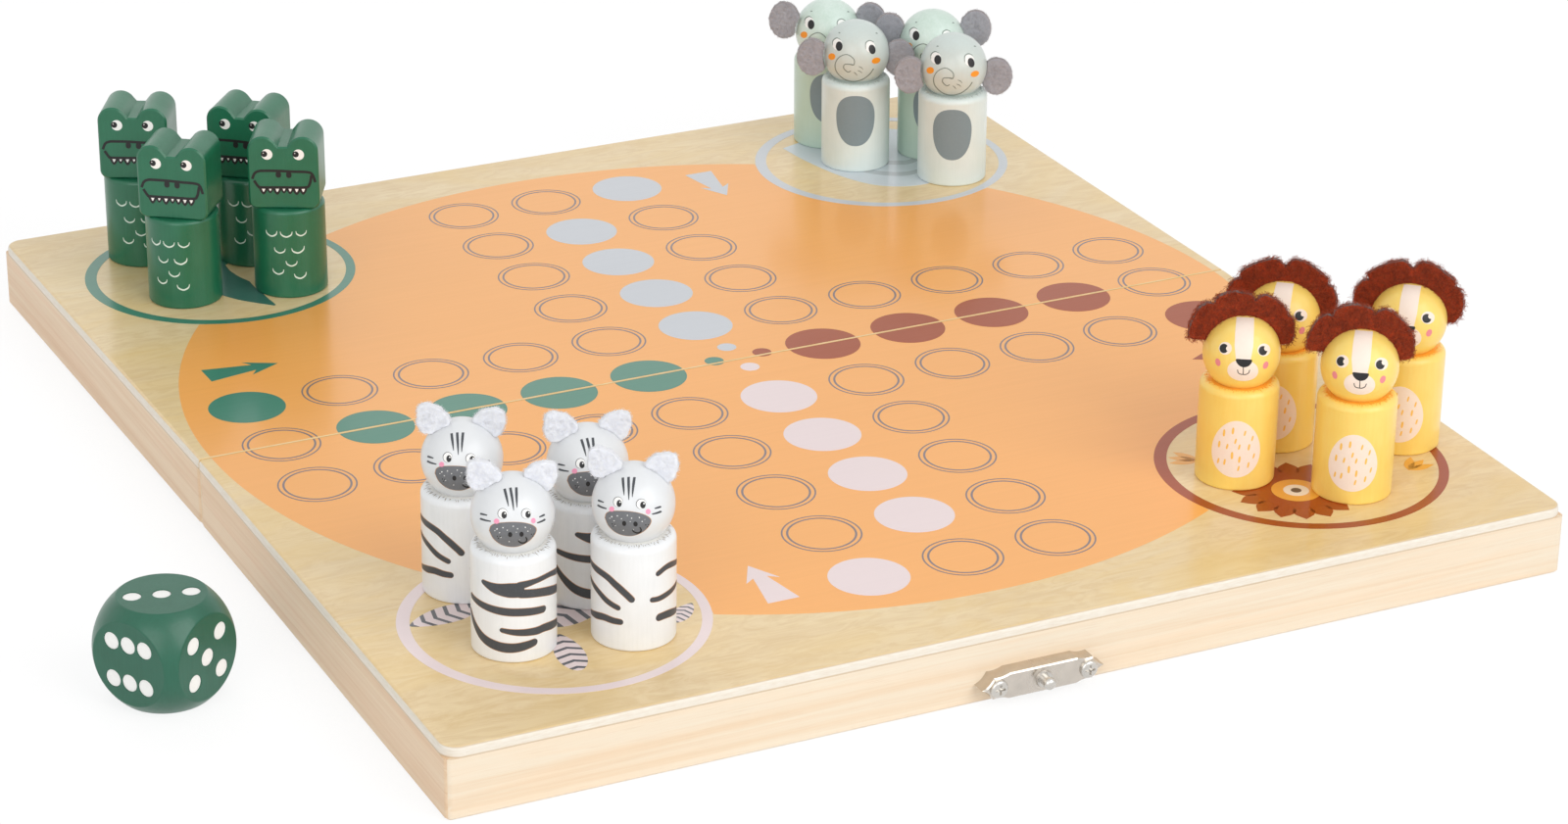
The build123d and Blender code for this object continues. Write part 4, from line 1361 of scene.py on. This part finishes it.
def feltOutlines(animal, index):
    # seen from in front, from the middle of the ball
    if animal == "zebra":
        ears = [rounded(ear, felt["zebraRound"]) for ear in felt["zebraEars"]]
        return [[(side * u, v) for u, v in ear] for side, ear in zip((-1, 1), ears)]
    if animal == "elephant":
        out, lifts = felt["elephantOut"], felt["elephantLifts"][index]
        return [oval(place, felt["elephantEar"], 0, 48) for place in zip((-out, out), lifts)]
    lobes = felt["frontMane" if index < 2 else "backMane"]
    outline = [point for lobe in lobes for point in through(lobe, 5)[:-1]]
    (stopU, stopV), (startU, startV) = lobes[0][0], lobes[-1][-1]
    start, stop = atan2(startV, startU) % (2 * pi), atan2(stopV, stopU)
    inside = felt["maneInside"]
    angles = [start + (stop - start) * i / 24 for i in range(25)]
    return [outline + [(inside * cos(angle), inside * sin(angle)) for angle in angles]]


def cutFelt(animal, index):
    # cut out, thickened and softened
    shapes = bmesh.new()
    keep = pawn["ball"] * felt["inside"]
    for outline, back in zip(feltOutlines(animal, index), felt["behind"][animal][index]):
        kept = [(u, v) if hypot(u, v) > keep else (u * keep / hypot(u, v), v * keep / hypot(u, v))
                for u, v in outline]
        low, high = ([shapes.verts.new((u, depth, v)) for u, v in kept]
                     for depth in (back, back - felt["thick"]))
        shapes.faces.new(low[::-1])
        shapes.faces.new(high)
        for (a, d), (b, c) in around(list(zip(low, high))):
            shapes.faces.new((a, b, c, d))
    bmesh.ops.recalc_face_normals(shapes, faces=shapes.faces)
    bmesh.ops.triangulate(shapes, faces=shapes.faces)
    mesh = bpy.data.meshes.new("cutFelt")
    shapes.to_mesh(mesh)
    shapes.free()
    holder = placed("cutFelt", mesh)
    remesh = holder.modifiers.new("remesh", "REMESH")
    remesh.mode = "VOXEL"
    remesh.voxel_size = felt["voxel"]
    smooth = holder.modifiers.new("smooth", "SMOOTH")
    smooth.factor = 0.5
    smooth.iterations = 3
    return baked(holder)


def feltPiece(animal, index, standing):
    # roughened on every side and kept off the ball, with its loose hairs
    dense = cutFelt(animal, index)
    # the cut edges take the edge colours, which are painted shade on the felt's sides
    sides = [int(abs(face.normal.y) < felt["edgeTurn"]) for face in dense.polygons]  # the cut edges
    seed = Vector((index * 17.0, len(animal) * 9.0, 3.0))
    places = []
    for vertex in dense.vertices:
        wave = noise.noise(vertex.co * 0.9 + seed) + 0.6 * noise.noise(vertex.co * 2.6 + seed)
        place = vertex.co + vertex.normal * wave * felt["rough"]
        if place.length < pawn["ball"] + felt["clear"]:
            place = place.normalized() * (pawn["ball"] + felt["clear"])
        places.extend((standing @ (place + Vector((0, 0, pawn["ballCentre"])))) * mm)
    dense.vertices.foreach_set("co", places)
    dense.update()
    dense.polygons.foreach_set("use_smooth", [True] * len(dense.polygons))
    face, edge, fibre = felts[animal]
    dense.materials.clear()
    dense.materials.append(face)
    dense.materials.append(edge)
    dense.polygons.foreach_set("material_index", sides)
    count, length, thick, leastLie, mostLie = felt["fibres"][animal]
    values = {"Count": count, "Length": length * mm, "Thickness": thick * mm, "Least Lie": leastLie,
              "Most Lie": mostLie, "Seed": index + 11, "Material": fibre}
    fuzz = placed("fuzz", grow(dense.copy(), fibres, values))
    trim = "mane" if animal == "lion" else "ears"
    piece = joined(animal + capital(trim) + str(index + 1), [placed("cloth", dense), fuzz])
    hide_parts(f"{animal}_pawn_{index + 1}_{trim}")
    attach(piece, f"{animal}_pawn_{index + 1}")


for animal in felts:
    for index, (x, y, turn) in enumerate(herds[animal]):
        feltPiece(animal, index, stand((x, y), turn))
print("felt cut")

# Die pips

die = {"side": 23.5, "place": (-167.8, -71.4), "turn": 31.8, "floor": -1.6, "pip": 1.93, "offset": 4.4,
       "depth": 0.25, "proud": 0.05}


def dieSurface(centre, out, level, u, v, h):
    reach = die["side"] / 2 - die["depth"] + die["proud"] + h
    return (centre + out * reach + level * u + out.cross(level) * v) * mm


def dotDie():
    o = die["offset"]
    diagonal, square = [(-o, o), (0, 0), (o, -o)], [(-o, -o), (-o, o), (o, -o), (o, o)]
    turn = radians(die["turn"])
    x, y, z = Vector((cos(turn), sin(turn), 0)), Vector((-sin(turn), cos(turn), 0)), Vector((0, 0, 1))
    patterns = [
        (z, x, diagonal),
        (-z, x, square),
        (x, z.cross(x), [(0, 0)]),
        (-x, z.cross(-x), square + [(0, -o), (0, o)]),
        (y, z.cross(y), diagonal[::2]),
        (-y, z.cross(-y), square + [(0, 0)]),
    ]
    centre = Vector((*die["place"], die["floor"] + die["side"] / 2))
    parts = []
    for out, level, spots in patterns:
        film = Film(inks)
        film.stamp(discs, spots, "white", 0.0, {"Radius": die["pip"]})
        parts.append(layOn("pips", film, dieSurface, centre, out, level, sunk=0.12))
    piece = joined("diePips", parts)
    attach(piece, "die")
    coat("die", paints["die"])


dotDie()
print("die dotted")
